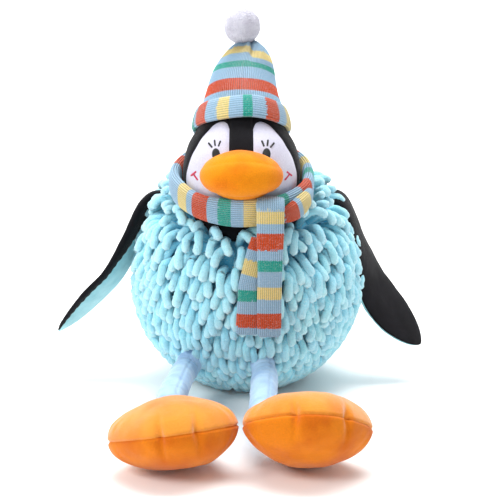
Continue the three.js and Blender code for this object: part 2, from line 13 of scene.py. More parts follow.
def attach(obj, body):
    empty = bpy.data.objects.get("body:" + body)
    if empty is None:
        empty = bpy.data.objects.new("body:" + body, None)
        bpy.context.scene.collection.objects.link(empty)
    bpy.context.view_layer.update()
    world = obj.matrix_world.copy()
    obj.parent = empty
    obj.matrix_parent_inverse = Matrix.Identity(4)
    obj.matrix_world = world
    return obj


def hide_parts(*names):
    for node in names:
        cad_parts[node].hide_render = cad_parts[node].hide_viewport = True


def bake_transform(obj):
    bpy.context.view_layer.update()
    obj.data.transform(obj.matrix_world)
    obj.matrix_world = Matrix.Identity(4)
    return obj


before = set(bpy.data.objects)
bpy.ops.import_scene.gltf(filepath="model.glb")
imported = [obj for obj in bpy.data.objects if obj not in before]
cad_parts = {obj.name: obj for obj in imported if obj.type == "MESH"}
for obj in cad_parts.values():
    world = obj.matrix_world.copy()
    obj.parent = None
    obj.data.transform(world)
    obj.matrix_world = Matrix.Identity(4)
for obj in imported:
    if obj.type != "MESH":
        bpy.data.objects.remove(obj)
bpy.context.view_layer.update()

MM = 0.001
UP = np.array([0.0, 0.0, 1.0])
SIDES = (("left", 1), ("right", -1))


# ------------------------------------------------------------------ small maths

def vec(*values):
    return np.array(values, float)


def unit(v):
    v = np.asarray(v, float)
    return v / np.maximum(np.linalg.norm(v, axis=-1, keepdims=True), 1e-9)


def rotation(axis, degrees):
    return np.array(Matrix.Rotation(math.radians(degrees), 3, axis))


def smoothstep(x, low=0.0, high=1.0):
    t = np.clip((np.asarray(x, float) - low) / (high - low), 0, 1)
    return t * t * (3 - 2 * t)


def spline(points, count):
    """A Catmull-Rom curve through points, sampled at even steps of length."""
    points = np.asarray(points, float)
    fine = []
    for i in range(len(points) - 1):
        p1, p2 = points[i], points[i + 1]
        p0 = points[i - 1] if i else 2 * p1 - p2
        p3 = points[i + 2] if i + 2 < len(points) else 2 * p2 - p1
        for t in np.arange(0, 1, 0.05):
            fine.append(0.5 * (2 * p1 + (p2 - p0) * t + (2 * p0 - 5 * p1 + 4 * p2 - p3) * t ** 2
                               + (3 * p1 - p0 - 3 * p2 + p3) * t ** 3))
    fine.append(points[-1])
    fine = np.array(fine)
    length = np.concatenate([[0], np.cumsum(np.linalg.norm(np.diff(fine, axis=0), axis=1))])
    wanted = np.linspace(0, length[-1], count)
    return np.stack([np.interp(wanted, length, fine[:, k]) for k in range(fine.shape[1])], axis=1)


def smooth_noise(points, cell, seed, octaves=2):
    """Smooth value noise at points, about -1 to 1, with features about one cell wide."""
    total = np.zeros(len(points))
    weight = 1.0
    for octave in range(octaves):
        p = np.asarray(points) / cell * 2 ** octave + 37.3 * (octave + seed)
        base = np.floor(p).astype(np.int64)
        f = p - base
        f = f * f * (3 - 2 * f)
        value = np.zeros(len(points))
        for corner in range(8):
            offset = np.array([corner & 1, corner >> 1 & 1, corner >> 2 & 1])
            cellno = base + offset
            h = cellno[:, 0] * 73856093 ^ cellno[:, 1] * 19349663 ^ cellno[:, 2] * 83492791
            h = (h ^ seed * 2654435761) & 0xFFFFFF
            h = (h * 1103515245 + 12345) & 0xFFFFFF
            w = np.prod(np.where(offset, f, 1 - f), axis=1)
            value += w * (h / 0xFFFFFF * 2 - 1)
        total += weight * value
        weight *= 0.5
    return total


# ------------------------------------------------------------------ meshes

def new_mesh(name, points, faces, uv=None):
    """A smooth mesh from points in millimetres. faces is one index array, or several of any width."""
    groups = [np.asarray(f, np.int32) for f in (faces if isinstance(faces, list) else [faces])]
    groups = [g for g in groups if len(g)]
    loops = np.concatenate([g.ravel() for g in groups])
    sizes = np.concatenate([np.full(len(g), g.shape[1]) for g in groups])
    starts = np.concatenate([[0], np.cumsum(sizes)[:-1]]).astype(np.int32)
    mesh = bpy.data.meshes.new(name)
    mesh.vertices.add(len(points))
    mesh.vertices.foreach_set("co", (np.asarray(points) * MM).astype(np.float32).ravel())
    mesh.loops.add(len(loops))
    mesh.loops.foreach_set("vertex_index", loops)
    mesh.polygons.add(len(sizes))
    mesh.polygons.foreach_set("loop_start", starts)
    if uv is not None:
        layer = mesh.uv_layers.new(name="weave")
        layer.data.foreach_set("uv", np.asarray(uv, np.float32)[loops].ravel())
    mesh.update(calc_edges=True)
    mesh.validate()
    mesh.polygons.foreach_set("use_smooth", np.ones(len(mesh.polygons), bool))
    return mesh


def add_piece(name, mesh, material, body, replaces=()):
    obj = bpy.data.objects.new(name, mesh)
    bpy.context.scene.collection.objects.link(obj)
    mesh.materials.append(material)
    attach(obj, body)
    if replaces:
        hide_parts(*replaces)
    return obj


def grid_faces(rows, columns, wrap=True):
    """Quads between rows of points. With wrap, each row closes on itself."""
    r = np.arange(rows - 1)[:, None]
    c = np.arange(columns if wrap else columns - 1)[None, :]
    k = (c + 1) % columns
    return np.stack([r * columns + c, r * columns + k, (r + 1) * columns + k, (r + 1) * columns + c],
                    axis=-1).reshape(-1, 4)


def cap_faces(first, count, flip=False):
    """A fan from the point right after a ring of count points."""
    c = np.arange(count)
    k = (c + 1) % count
    middle = np.full(count, first + count)
    ring = (k, c) if flip else (c, k)
    return np.stack([first + ring[0], first + ring[1], middle], axis=1)


def clip(points, triangles, value, uv=None):
    """The part of a triangle mesh where value is above zero, cut cleanly along its zero line."""
    inside = value > 0
    count = inside[triangles].sum(axis=1)
    kept = [triangles[count == 3]]
    new_points = []
    new_uv = []
    cuts = {}

    def cut(a, b):
        key = (a, b) if a < b else (b, a)
        if key not in cuts:
            t = value[a] / (value[a] - value[b])
            cuts[key] = len(points) + len(new_points)
            new_points.append(points[a] + (points[b] - points[a]) * t)
            if uv is not None:
                new_uv.append(uv[a] + (uv[b] - uv[a]) * t)
        return cuts[key]

    made = []
    for tri in triangles[(count == 1) | (count == 2)]:
        flags = inside[tri]
        alone = int(np.argmax(flags if flags.sum() == 1 else ~flags))
        a, b, c = (int(tri[(alone + k) % 3]) for k in range(3))
        ab, ac = cut(a, b), cut(a, c)
        if flags.sum() == 1:
            made.append((a, ab, ac))
        else:
            made += [(ab, b, c), (ab, c, ac)]
    kept.append(np.array(made, int).reshape(-1, 3))
    triangles = np.concatenate(kept)
    if new_points:
        points = np.concatenate([points, np.array(new_points)])
        if uv is not None:
            uv = np.concatenate([uv, np.array(new_uv)])
    used, index = np.unique(triangles, return_inverse=True)
    index = index.reshape(-1, 3)
    return points[used], index, (None if uv is None else uv[used])


def split_quads(quads):
    return np.concatenate([quads[:, [0, 1, 2]], quads[:, [0, 2, 3]]])


def distance_to_outline(p, outline):
    """Signed distance in a plane from points to a closed outline, positive inside it."""
    a = outline
    b = np.roll(outline, -1, axis=0)
    d = b - a
    best = np.full(len(p), 1e9)
    inside = np.zeros(len(p), bool)
    for k in range(len(a)):
        t = np.clip(((p - a[k]) @ d[k]) / max(d[k] @ d[k], 1e-9), 0, 1)
        gap = p - a[k] - t[:, None] * d[k]
        best = np.minimum(best, np.einsum("ij,ij->i", gap, gap))
        above = (a[k, 1] > p[:, 1]) != (b[k, 1] > p[:, 1])
        rise = d[k, 1] if abs(d[k, 1]) > 1e-9 else 1e-9
        inside ^= above & (p[:, 0] < a[k, 0] + (p[:, 1] - a[k, 1]) / rise * d[k, 0])
    return np.sqrt(best) * np.where(inside, 1, -1)


# ------------------------------------------------------------------ materials

class Nodes:
    """A short way to build a material's nodes."""

    def __init__(self, name, roughness, sheen=0.0, sheen_roughness=0.5, specular=0.3):
        self.material = bpy.data.materials.new(name)
        self.material.use_nodes = True
        self.tree = self.material.node_tree
        self.shader = self.tree.nodes["Principled BSDF"]
        self.shader.inputs["Roughness"].default_value = roughness
        self.shader.inputs["Specular IOR Level"].default_value = specular
        self.shader.inputs["Sheen Weight"].default_value = sheen
        self.shader.inputs["Sheen Roughness"].default_value = sheen_roughness
        self.coordinates = self.node("ShaderNodeTexCoord").outputs["Object"]

    def node(self, kind, **settings):
        made = self.tree.nodes.new(kind)
        for key, value in settings.items():
            setattr(made, key, value)
        return made

    def link(self, source, target):
        self.tree.links.new(source, target)

    def feed(self, socket, value):
        if isinstance(value, bpy.types.NodeSocket):
            self.link(value, socket)
        else:
            socket.default_value = value

    def math(self, operation, a, b=0.0, c=0.0):
        made = self.node("ShaderNodeMath", operation=operation)
        for socket, value in zip(made.inputs, (a, b, c)):
            self.feed(socket, value)
        return made.outputs[0]

    def noise(self, size, detail=2.0, stretch=(1, 1, 1), rough=0.5):
        """Noise whose features are about size millimetres wide."""
        mapping = self.node("ShaderNodeMapping")
        mapping.inputs["Scale"].default_value = stretch
        self.link(self.coordinates, mapping.inputs["Vector"])
        made = self.node("ShaderNodeTexNoise")
        made.inputs["Scale"].default_value = 1 / (size * MM)
        made.inputs["Detail"].default_value = detail
        made.inputs["Roughness"].default_value = rough
        self.link(mapping.outputs[0], made.inputs["Vector"])
        return made.outputs["Fac"]

    def uv(self):
        layer = self.node("ShaderNodeUVMap", uv_map="weave")
        split = self.node("ShaderNodeSeparateXYZ")
        self.link(layer.outputs[0], split.inputs[0])
        return split.outputs[0], split.outputs[1]

    def ramp(self, factor, stops, steps=False):
        made = self.node("ShaderNodeValToRGB")
        ramp = made.color_ramp
        if steps:
            ramp.interpolation = "CONSTANT"
        while len(ramp.elements) < len(stops):
            ramp.elements.new(0.5)
        for element, (place, colour) in zip(ramp.elements, stops):
            element.position = place
            element.color = (*colour, 1)
        self.link(factor, made.inputs[0])
        return made.outputs[0]

    def mix(self, factor, a, b, blend="MIX"):
        made = self.node("ShaderNodeMix", data_type="RGBA", blend_type=blend)
        self.feed(made.inputs["Factor"], factor)
        for socket, value in ((made.inputs["A"], a), (made.inputs["B"], b)):
            self.feed(socket, value if isinstance(value, bpy.types.NodeSocket) else (*value, 1))
        return made.outputs["Result"]

    def colour(self, value):
        self.feed(self.shader.inputs["Base Color"], value)

    def bump(self, *layers):
        """Each layer is (height from 0 to 1, depth in millimetres)."""
        normal = None
        for height, depth in layers:
            made = self.node("ShaderNodeBump")
            made.inputs["Strength"].default_value = 1
            made.inputs["Distance"].default_value = depth * MM
            self.link(height, made.inputs["Height"])
            if normal is not None:
                self.link(normal, made.inputs["Normal"])
            normal = made.outputs[0]
        self.link(normal, self.shader.inputs["Normal"])


def srgb(red, green, blue):
    def linear(c):
        c /= 255
        return c / 12.92 if c <= 0.04045 else ((c + 0.055) / 1.055) ** 2.4
    return tuple(linear(c) for c in (red, green, blue))


BLACK = srgb(21, 20, 25)
WHITE = srgb(212, 211, 226)
KNIT_BLUE = srgb(156, 194, 220)
KNIT_ORANGE = srgb(212, 74, 20)
KNIT_GREEN = srgb(36, 168, 150)
KNIT_YELLOW = srgb(236, 214, 138)
SATIN_BLUE = srgb(172, 204, 230)
WING_BLUE = srgb(160, 212, 218)


def chenille_material():
    """Fuzzy chenille cord. The weave map's u is a number of each finger's own, and v runs along it."""
    n = Nodes("aqua_chenille", roughness=0.95, sheen=0.55, sheen_roughness=0.55, specular=0.1)
    own, along = n.uv()
    # painted shade and light: each finger is darker at its root, down among the others, and lighter towards
    # its tip
    tone = n.ramp(along, [(0.0, srgb(116, 212, 240)), (0.45, srgb(152, 226, 244)),
                          (0.85, srgb(176, 232, 244)), (1.0, srgb(202, 240, 248))])
    dye = n.ramp(own, [(0.0, (0.88, 0.93, 0.97)), (0.5, (1, 1, 1)), (1.0, (0.95, 1, 0.98))])
    tufts = n.ramp(n.noise(1.7, 2, rough=0.65),
                   [(0.3, (0.78, 0.87, 0.91)), (0.52, (1, 1, 1)), (0.75, (1.0, 1.0, 1.0))])
    tone = n.mix(1.0, n.mix(1.0, tone, dye, "MULTIPLY"), tufts, "MULTIPLY")
    # painted highlights: pale specks where the pile's loops catch the light
    pile_glints = n.ramp(n.noise(1.1, 1), [(0.58, (0, 0, 0)), (0.72, (0.5, 0.5, 0.5))])
    n.colour(n.mix(pile_glints, tone, srgb(222, 244, 250)))
    n.bump((n.noise(2.6, 2), 0.9), (n.noise(0.9, 2, rough=0.7), 0.7))
    return n.material


def plush_material(name, light, deep, pile=0.35, sheen=0.4, patch=26):
    """Short-pile plush: fine upright nap, and soft patches where the nap lies another way."""
    n = Nodes(name, roughness=0.9, sheen=sheen, sheen_roughness=0.45, specular=0.15)
    patches = n.ramp(n.noise(patch, 2), [(0.36, deep), (0.6, light)])
    nap = n.ramp(n.noise(1.1, 2, rough=0.6), [(0.3, (0.84, 0.84, 0.84)), (0.7, (1, 1, 1))])
    n.colour(n.mix(1.0, patches, nap, "MULTIPLY"))
    n.bump((n.noise(9, 3), 0.5), (n.noise(0.8, 2, rough=0.7), pile))
    return n.material


def cloth_material(name, light, deep):
    """Smooth, closely knitted cloth with a faint lustre."""
    n = Nodes(name, roughness=0.62, sheen=0.3, sheen_roughness=0.4, specular=0.3)
    shade = n.ramp(n.noise(16, 3), [(0.35, deep), (0.65, light)])
    grain = n.ramp(n.noise(0.6, 1), [(0.3, (0.9, 0.9, 0.9)), (0.7, (1, 1, 1))])
    n.colour(n.mix(1.0, shade, grain, "MULTIPLY"))
    n.bump((n.noise(6, 2), 0.35), (n.noise(0.6, 1, stretch=(1, 1, 0.4)), 0.12))
    return n.material


def knit_material(name, stripes, courses):
    """Striped rib knit. The weave map's u counts wales and its v counts courses.

    stripes is a list of (first course, colour).
    """
    n = Nodes(name, roughness=0.88, sheen=0.4, sheen_roughness=0.5, specular=0.15)
    u, v = n.uv()
    off = n.math("MULTIPLY", n.math("ABSOLUTE", n.math("SUBTRACT", n.math("FRACT", u), 0.5)), 2.0)
    slanted = n.math("ADD", v, n.math("MULTIPLY", off, 0.6))
    loop = n.math("SINE", n.math("MULTIPLY", n.math("FRACT", slanted), math.pi))
    rib = n.math("SUBTRACT", 1.0, n.math("POWER", off, 2.6))
    height = n.math("MULTIPLY", rib, n.math("MULTIPLY_ADD", loop, 0.55, 0.45))
    ragged = n.math("ADD", n.math("FLOOR", slanted),
                    n.math("MULTIPLY_ADD", n.noise(3.0, 1), 0.9, 0.05))
    along = n.math("DIVIDE", ragged, courses)
    stops = [(max(first / courses, 0), colour) for first, colour in stripes]
    tone = n.ramp(along, stops, steps=True)
    # painted shade: the hollows between the ribs are darkened according to their height
    shade = n.ramp(height, [(0.0, (0.34, 0.37, 0.42)), (0.35, (0.74, 0.76, 0.79)), (0.8, (1, 1, 1))])
    tone = n.mix(1.0, tone, shade, "MULTIPLY")
    fuzz = n.ramp(n.noise(1.3, 2), [(0.52, (0, 0, 0)), (0.75, (0.22, 0.22, 0.22))])
    n.colour(n.mix(fuzz, tone, srgb(240, 244, 248)))
    n.bump((height, 0.8), (n.noise(0.6, 2), 0.2))
    return n.material


def thread_material(name, colour):
    """Satin-stitch embroidery: u runs across the threads."""
    n = Nodes(name, roughness=0.45, specular=0.5)
    u, _ = n.uv()
    strand = n.math("SINE", n.math("MULTIPLY", u, 2 * math.pi))
    strand = n.math("MULTIPLY_ADD", strand, 0.5, 0.5)
    # painted shade in the grooves between the threads
    groove_shade = tuple(c * 0.55 for c in colour)
    n.colour(n.mix(strand, groove_shade, colour))
    n.bump((strand, 0.15))
    return n.material


def yarn_material():
    n = Nodes("white_yarn", roughness=1.0, sheen=0.6, sheen_roughness=0.7, specular=0.05)
    shade = n.ramp(n.noise(7, 3), [(0.3, srgb(196, 194, 208)), (0.7, srgb(218, 217, 228))])
    n.colour(shade)
    n.shader.inputs["Subsurface Weight"].default_value = 0.2
    n.shader.inputs["Subsurface Radius"].default_value = (0.004, 0.004, 0.004)
    n.bump((n.noise(2.0, 3, rough=0.7), 0.4))
    return n.material


def floor_material():
    n = Nodes("pale_floor", roughness=0.95, specular=0.05)
    n.colour(n.ramp(n.noise(60, 2), [(0.3, (0.95, 0.95, 0.95)), (0.7, (0.965, 0.965, 0.965))]))
    return n.material


# ------------------------------------------------------------------ the toy's dimensions

BODY_CENTRE = vec(0, 0, 114)
BODY = {"cloth": 101.0, "pile": 122.0, "yaw": -12}
FINGER = {"radius": 4.3, "length": (30, 42), "spacing": 10.3}

NECK_LEAN = 26
neck_turn = rotation("X", NECK_LEAN)
NECK_RADIUS = 47.5
SCARF = {"radius": 66.0, "height": 118.0, "thick": 4.8, "high": 12.8, "across": -4,
         "tilt": -6.0}

HEAD_CENTRE = vec(-5, -57, 251.5)
HEAD_LEAN = 12
HEAD_DEPTH = 0.9
HEAD_PROFILE = [(0, -57), (22, -57.5), (36, -56), (48, -50), (54.2, -40), (57.6, -25),
                (56.6, -10), (52.3, 5), (44.3, 19), (35.4, 33), (26, 46), (15.5, 56), (0, 62)]
BEAK = {"centre": vec(-5, -109, 234), "half": vec(39, 30, 23.5), "seam": 214.5}
FACE_OUTLINE = [(11.7, 252), (11.5, 276), (14, 281), (19.5, 282.5), (27, 279), (33, 273),
                (39.5, 265.5), (44.5, 257), (48.5, 250), (51.5, 242), (54.6, 229), (54, 216),
                (49, 204), (36, 194), (0.2, 190), (0.2, 252)]
EYE = {"x": 23.4, "z": 253.2, "wide": 3.9, "high": 5.6}

HAT_BASE = vec(-4.5, -48, 271)
HAT_LEAN = 22.5
HAT_PROFILE = [(43.6, 0), (40.8, 15), (37, 31), (30.6, 54), (25.8, 67), (20.5, 77), (13.5, 86),
               (6, 91), (1, 92)]
CUFF = {"thick": 4.6, "high": 19.5}
POMPOM = {"radius": 18.0, "forward": 13.5, "height": 101.6}

WING_PATH = {
    "left": [(78, 5, 188), (86, 5, 194.5), (94, 5, 194.5), (102, 4, 187), (109, 2, 171),
             (116, 0, 152), (122.5, -1, 136), (128, -2, 118), (133.5, -3, 102), (143, -5, 86),
             (155, -7, 71), (168, -9, 57), (184, -12, 41)],
    "right": [(-78, 5, 188), (-86, 5, 195), (-95, 5, 196), (-103, 4, 190), (-109, 3, 180),
              (-114.5, 2, 167), (-122.5, 1, 148), (-130.5, 0, 131), (-142.5, -1, 112),
              (-158.5, -2, 95), (-177, -3, 76), (-200, -5, 53)],
}
WING_TURN = {"left": [12, 14, 20, 42, 46, 44], "right": [-14, -18, -24, -24, -24, -22]}
WING_WIDTH = [15, 18, 19, 20, 22, 25, 27.5, 26, 19.5, 7]
WING_THICK = [6, 6.2, 5.8, 5.2, 5, 4.9, 4.6, 3.9, 2.6]
# how far round the wing's front edge the black panel is turned, in degrees, from root to tip
WING_WRAP = {"left": [140, 140, 60, -8, -10, -10], "right": [140, 130, 85, 52, 46, 44, 44]}

SHOULDER = vec(86, 6, 92)
HIP_SPREAD = 21
HIP_DROP = 34
HIP_PIVOT = 133
LEG_RADIUS = 12.2
ANKLE = {"left": vec(14, -219, 37), "right": vec(-66, -208, 50)}
# centre, pitch, roll and spin of each foot, then where its two toe stitches are
FOOT = {"left": (vec(50.5, -246, 37.8), -37, 0, 10, (-19, 26)),
        "right": (vec(-61, -243, 34), -18, -8, 0, (-6, 24))}
FOOT_HALF = vec(58, 47, 31)
HEEL_WIDTH = 0.72


def in_neck(points):
    return np.asarray(points) @ neck_turn.T + BODY_CENTRE


def in_scarf(points):
    """The scarf rides up at the front, under the beak, and sits lower behind."""
    middle = UP * SCARF["height"]
    return in_neck((np.asarray(points) - middle) @ rotation("X", SCARF["tilt"]).T
                   + middle + UP * 1.5) + vec(SCARF["across"], 0, 0)


def in_hat(points):
    return np.asarray(points) @ rotation("X", -HAT_LEAN).T + HAT_BASE


def hip_axis(side):
    turn = math.radians(BODY["yaw"] + side * HIP_SPREAD)
    drop = math.radians(HIP_DROP)
    return vec(math.cos(drop) * math.sin(turn), -math.cos(drop) * math.cos(turn), -math.sin(drop))


def shoulder_axis(side):
    return unit(SHOULDER * vec(side, 1, 1))


# ------------------------------------------------------------------ chenille body

def sphere_points(count):
    """Evenly spread directions."""
    k = np.arange(count)
    height = 1 - 2 * (k + 0.5) / count
    turn = k * math.pi * (3 - math.sqrt(5))
    flat = np.sqrt(1 - height ** 2)
    return np.stack([flat * np.cos(turn), flat * np.sin(turn), height], axis=1)


def finger_roots():
    """Evenly spread root directions on the body, leaving out the neck, the limbs and the seat."""
    area = 4 * math.pi * BODY["cloth"] ** 2
    n = sphere_points(int(area / FINGER["spacing"] ** 2))
    rng = np.random.default_rng(11)
    n = unit(n + rng.normal(0, 0.016, n.shape))
    neck = neck_turn @ UP
    keep = n @ neck < math.cos(math.radians(29.5))
    for _, side in SIDES:
        keep &= n @ shoulder_axis(side) < math.cos(math.radians(6.5))
        keep &= n @ hip_axis(side) < math.cos(math.radians(8))
    return n[keep]


def leg_line(side, name):
    start = BODY_CENTRE + hip_axis(side) * HIP_PIVOT
    return start, ANKLE[name]


def push_from_line(p, a, b, radius):
    """Moves points out of a capsule round the line from a to b."""
    t = np.clip(((p - a) @ (b - a)) / ((b - a) @ (b - a)), 0, 1)
    gap = p - a - t[:, None] * (b - a)
    far = np.linalg.norm(gap, axis=1, keepdims=True)
    return p + np.where(far < radius, gap / np.maximum(far, 1e-6) * (radius - far), 0)


def relaxed_fingers(normals):
    """Lets the chenille fingers sag and push each other aside. Returns chains of points."""
    rng = np.random.default_rng(5)
    links = 6
    count = len(normals)
    neck_axis = neck_turn @ UP
    lengths = rng.uniform(*FINGER["length"], count)
    step = (lengths / links)[:, None]
    root = BODY_CENTRE + normals * BODY["cloth"]
    away = unit(normals - neck_axis * (normals @ neck_axis)[:, None])
    by_neck = smoothstep(normals @ neck_axis, 0.68, 0.82)[:, None]
    lean = unit(normals + rng.normal(0, 0.24, normals.shape) + (0.3 * away - 0.15 * UP) * (1 - by_neck))
    chain = root[:, None] + lean[:, None] * step[:, None] * np.arange(links + 1)[None, :, None]
    owner = np.repeat(np.arange(count), links)
    stand = smoothstep(normals @ unit(vec(0, 0.1, 1)), 0.45, 0.8)[:, None]
    rounds = 140
    scarf_middle, scarf_top = in_scarf([UP * SCARF["height"], UP * (SCARF["height"] + 1)])
    scarf_axis = scarf_top - scarf_middle
    for turn in range(rounds):
        for k in range(1, links + 1):
            chain[:, k] -= UP * (0.62 - 0.3 * stand) * (1 - 0.6 * by_neck) * (k / links) ** 0.8
            before = chain[:, k - 1] - lean * step if k == 1 else chain[:, k - 2]
            straight = 2 * chain[:, k - 1] - before
            chain[:, k] += (straight - chain[:, k]) * (0.6 if k == 1 else 0.13)
        flat = chain[:, 1:].reshape(-1, 3)
        if turn % 10 == 0:
            tree = kdtree.KDTree(len(flat))
            for i, p in enumerate(flat):
                tree.insert(p, i)
            tree.balance()
            found = [(i, j) for i, p in enumerate(flat)
                     for _, j, _ in tree.find_range(p, 2 * FINGER["radius"] + 3) if j > i]
            pairs = np.array(found)
            pairs = pairs[owner[pairs[:, 0]] != owner[pairs[:, 1]]]
        gap = flat[pairs[:, 0]] - flat[pairs[:, 1]]
        far = np.linalg.norm(gap, axis=1, keepdims=True)
        wanted = 2 * FINGER["radius"] - 0.9
        push = np.where(far < wanted, gap / np.maximum(far, 1e-6) * (wanted - far) * 0.3, 0)
        np.add.at(flat, pairs[:, 0], push)
        np.add.at(flat, pairs[:, 1], -push)
        out = flat - BODY_CENTRE
        far = np.linalg.norm(out, axis=1, keepdims=True)
        low = BODY["cloth"] + FINGER["radius"] * 0.8
        raised = 11 * smoothstep(out[:, 2] / far[:, 0], 0.42, 0.78)[:, None]
        high = BODY["pile"] - FINGER["radius"] * 0.6 + raised
        flat = BODY_CENTRE + out / far * np.clip(far, low, high)
        # clear of the scarf, which lies on the fingers next to it
        rel = flat - scarf_middle
        height = rel @ scarf_axis
        radius = np.linalg.norm(rel - height[:, None] * scarf_axis, axis=1)
        limit = -SCARF["high"] - 1.5
        near = (height > limit) & (radius < SCARF["radius"] + 6.5)
        sideways = unit(rel - height[:, None] * scarf_axis)
        flat += np.where(near & (radius > SCARF["radius"]), 1.2, 0)[:, None] * sideways
        flat -= scarf_axis * np.where(near, height - limit, 0)[:, None] * 0.5
        for name, s in SIDES:
            flat = push_from_line(flat, *leg_line(s, name), LEG_RADIUS + FINGER["radius"])
            wing = np.array(WING_PATH[name], float)
            for a, b in zip(wing[3:-1], wing[4:]):
                flat = push_from_line(flat, a, b, 6.0)
        flat[:, 2] = np.maximum(flat[:, 2], FINGER["radius"] * 0.95)
        # the two scarf tails hang in front of the pile
        under = (np.abs(flat[:, 0] - 10) < 24) & (flat[:, 1] < 0) & (flat[:, 2] > 78)
        flat[:, 1] = np.where(under, np.maximum(flat[:, 1], -116.5), flat[:, 1])
        chain[:, 1:] = flat.reshape(count, links, 3)
        for k in range(1, links + 1):
            link = chain[:, k] - chain[:, k - 1]
            chain[:, k] = chain[:, k - 1] + unit(link) * step
    return chain


def finger_skin(chains, seed):
    """Round-ended, nubbly tubes along many chains of points, as one mesh."""
    rings, sides = 22, 10
    count, nodes = chains.shape[:2]
    place = np.linspace(0, nodes - 1, rings)
    i = np.minimum(place.astype(int), nodes - 2)
    t = (place - i)[None, :, None]
    p = [chains[:, np.clip(i + k, 0, nodes - 1)] for k in (-1, 0, 1, 2)]
    line = 0.5 * (2 * p[1] + (p[2] - p[0]) * t + (2 * p[0] - 5 * p[1] + 4 * p[2] - p[3]) * t ** 2
                  + (3 * p[1] - p[0] - 3 * p[2] + p[3]) * t ** 3)
    tangent = unit(np.gradient(line, axis=1))
    a = unit(np.cross(tangent, unit(vec(0.31, 0.77, 0.56))))
    b = np.cross(tangent, a)
    rng = np.random.default_rng(seed)
    share = np.linspace(0, 1, rings)
    end = np.sqrt(np.clip(1 - ((share - 0.88) / 0.12).clip(0) ** 2, 0.0, 1))
    radius = FINGER["radius"] * (0.9 + 0.14 * share) * np.maximum(end, 0.3)
    radius = radius[None, :] * rng.uniform(0.9, 1.06, (count, 1)) * rng.uniform(0.95, 1.05, (count, rings))
    angle = np.linspace(0, 2 * math.pi, sides, endpoint=False)
    lumps = rng.uniform(0.9, 1.1, (count, rings, sides))
    ring = (a[:, :, None] * np.cos(angle)[:, None] + b[:, :, None] * np.sin(angle)[:, None])
    points = line[:, :, None] + ring * (radius[:, :, None] * lumps)[..., None]
    points = points.reshape(count, rings * sides, 3)
    tip = line[:, -1] + tangent[:, -1] * FINGER["radius"] * 0.25
    points = np.concatenate([points, tip[:, None]], axis=1)
    per = rings * sides + 1
    shift = (np.arange(count) * per)[:, None, None]
    quads = (grid_faces(rings, sides)[None] + shift).reshape(-1, 4)
    cap = (cap_faces((rings - 1) * sides, sides)[None] + shift).reshape(-1, 3)
    uv = np.zeros((count, per, 2))
    uv[:, :, 0] = rng.uniform(0, 1, (count, 1))
    uv[:, :-1, 1] = np.repeat(share, sides)[None]
    uv[:, -1, 1] = 1
    return points.reshape(-1, 3), [quads, cap], uv.reshape(-1, 2)


def join_parts(parts):
    """Several (points, [quads, triangles], uv) as one."""
    points, quads, triangles, uvs, start = [], [], [], [], 0
    for p, faces, uv in parts:
        for f in faces:
            (quads if f.shape[1] == 4 else triangles).append(f + start)
        points.append(p)
        uvs.append(uv)
        start += len(p)
    faces = [np.concatenate(g) for g in (quads, triangles) if g]
    return np.concatenate(points), faces, np.concatenate(uvs)


def cloth_patch(front, left):
    """A quarter of the round cloth that the fingers are sewn to, cut along the panel seams."""
    rows, columns = 26, 40
    yaw = math.radians(BODY["yaw"])
    turn0 = {(True, True): -90, (False, True): 0, (False, False): 90, (True, False): 180}[front, left]
    turn = np.radians(turn0 + np.linspace(0, 90, columns)) + yaw
    # the seat is flat, so the cloth stops at the height of the ground
    down = np.linspace(0.02, math.acos(-0.985), rows)
    t, d = np.meshgrid(turn, down)
    n = np.stack([np.sin(d) * np.cos(t), np.sin(d) * np.sin(t), np.cos(d)], axis=-1).reshape(-1, 3)
    p = BODY_CENTRE + n * (BODY["cloth"] + 0.6 * smooth_noise(n * 100, 9, 3)[:, None])
    neck = neck_turn @ UP
    near = (n @ neck)
    limit = math.cos(math.radians(32))
    p = p - neck * np.where(near > limit, (near - limit) * 160, 0)[:, None]
    p[:, 2] = np.maximum(p[:, 2], 13)
    # a weave map of 0 gives the cloth the chenille's root tone, the darkest of its painted shade between
    # the fingers
    uv = np.zeros((len(p), 2))
    return p, [grid_faces(rows, columns, wrap=False)], uv


def build_body(material):
    normals = finger_roots()
    chains = relaxed_fingers(normals)
    yaw = math.radians(-BODY["yaw"])
    x = normals[:, 0] * math.cos(yaw) - normals[:, 1] * math.sin(yaw)
    y = normals[:, 0] * math.sin(yaw) + normals[:, 1] * math.cos(yaw)
    seat = normals[:, 2] < -0.87
    hidden = {"back_left": ["body_stuffing", "pellet_pouch"]}
    for end, front in (("front", True), ("back", False)):
        for name, left in (("left", True), ("right", False)):
            own = ((y < 0) == front) & ((x > 0) == left) & ~seat
            mesh = join_parts([finger_skin(chains[own], 3), cloth_patch(front, left)])
            mesh[0][:, 2] = np.maximum(mesh[0][:, 2], 0.3)
            label = f"{end}_{name}"
            add_piece(f"chenille_panel_{label}", new_mesh(f"chenille_panel_{label}", *mesh), material,
                      "torso", [f"chenille_{label}", *hidden.get(label, [])])
    mesh = finger_skin(chains[seat], 4)
    mesh[0][:, 2] = np.maximum(mesh[0][:, 2], 0.3)
    add_piece("chenille_seat_panel", new_mesh("chenille_seat_panel", *mesh), material, "torso",
              ["chenille_base"])


# ------------------------------------------------------------------ knitted tubes

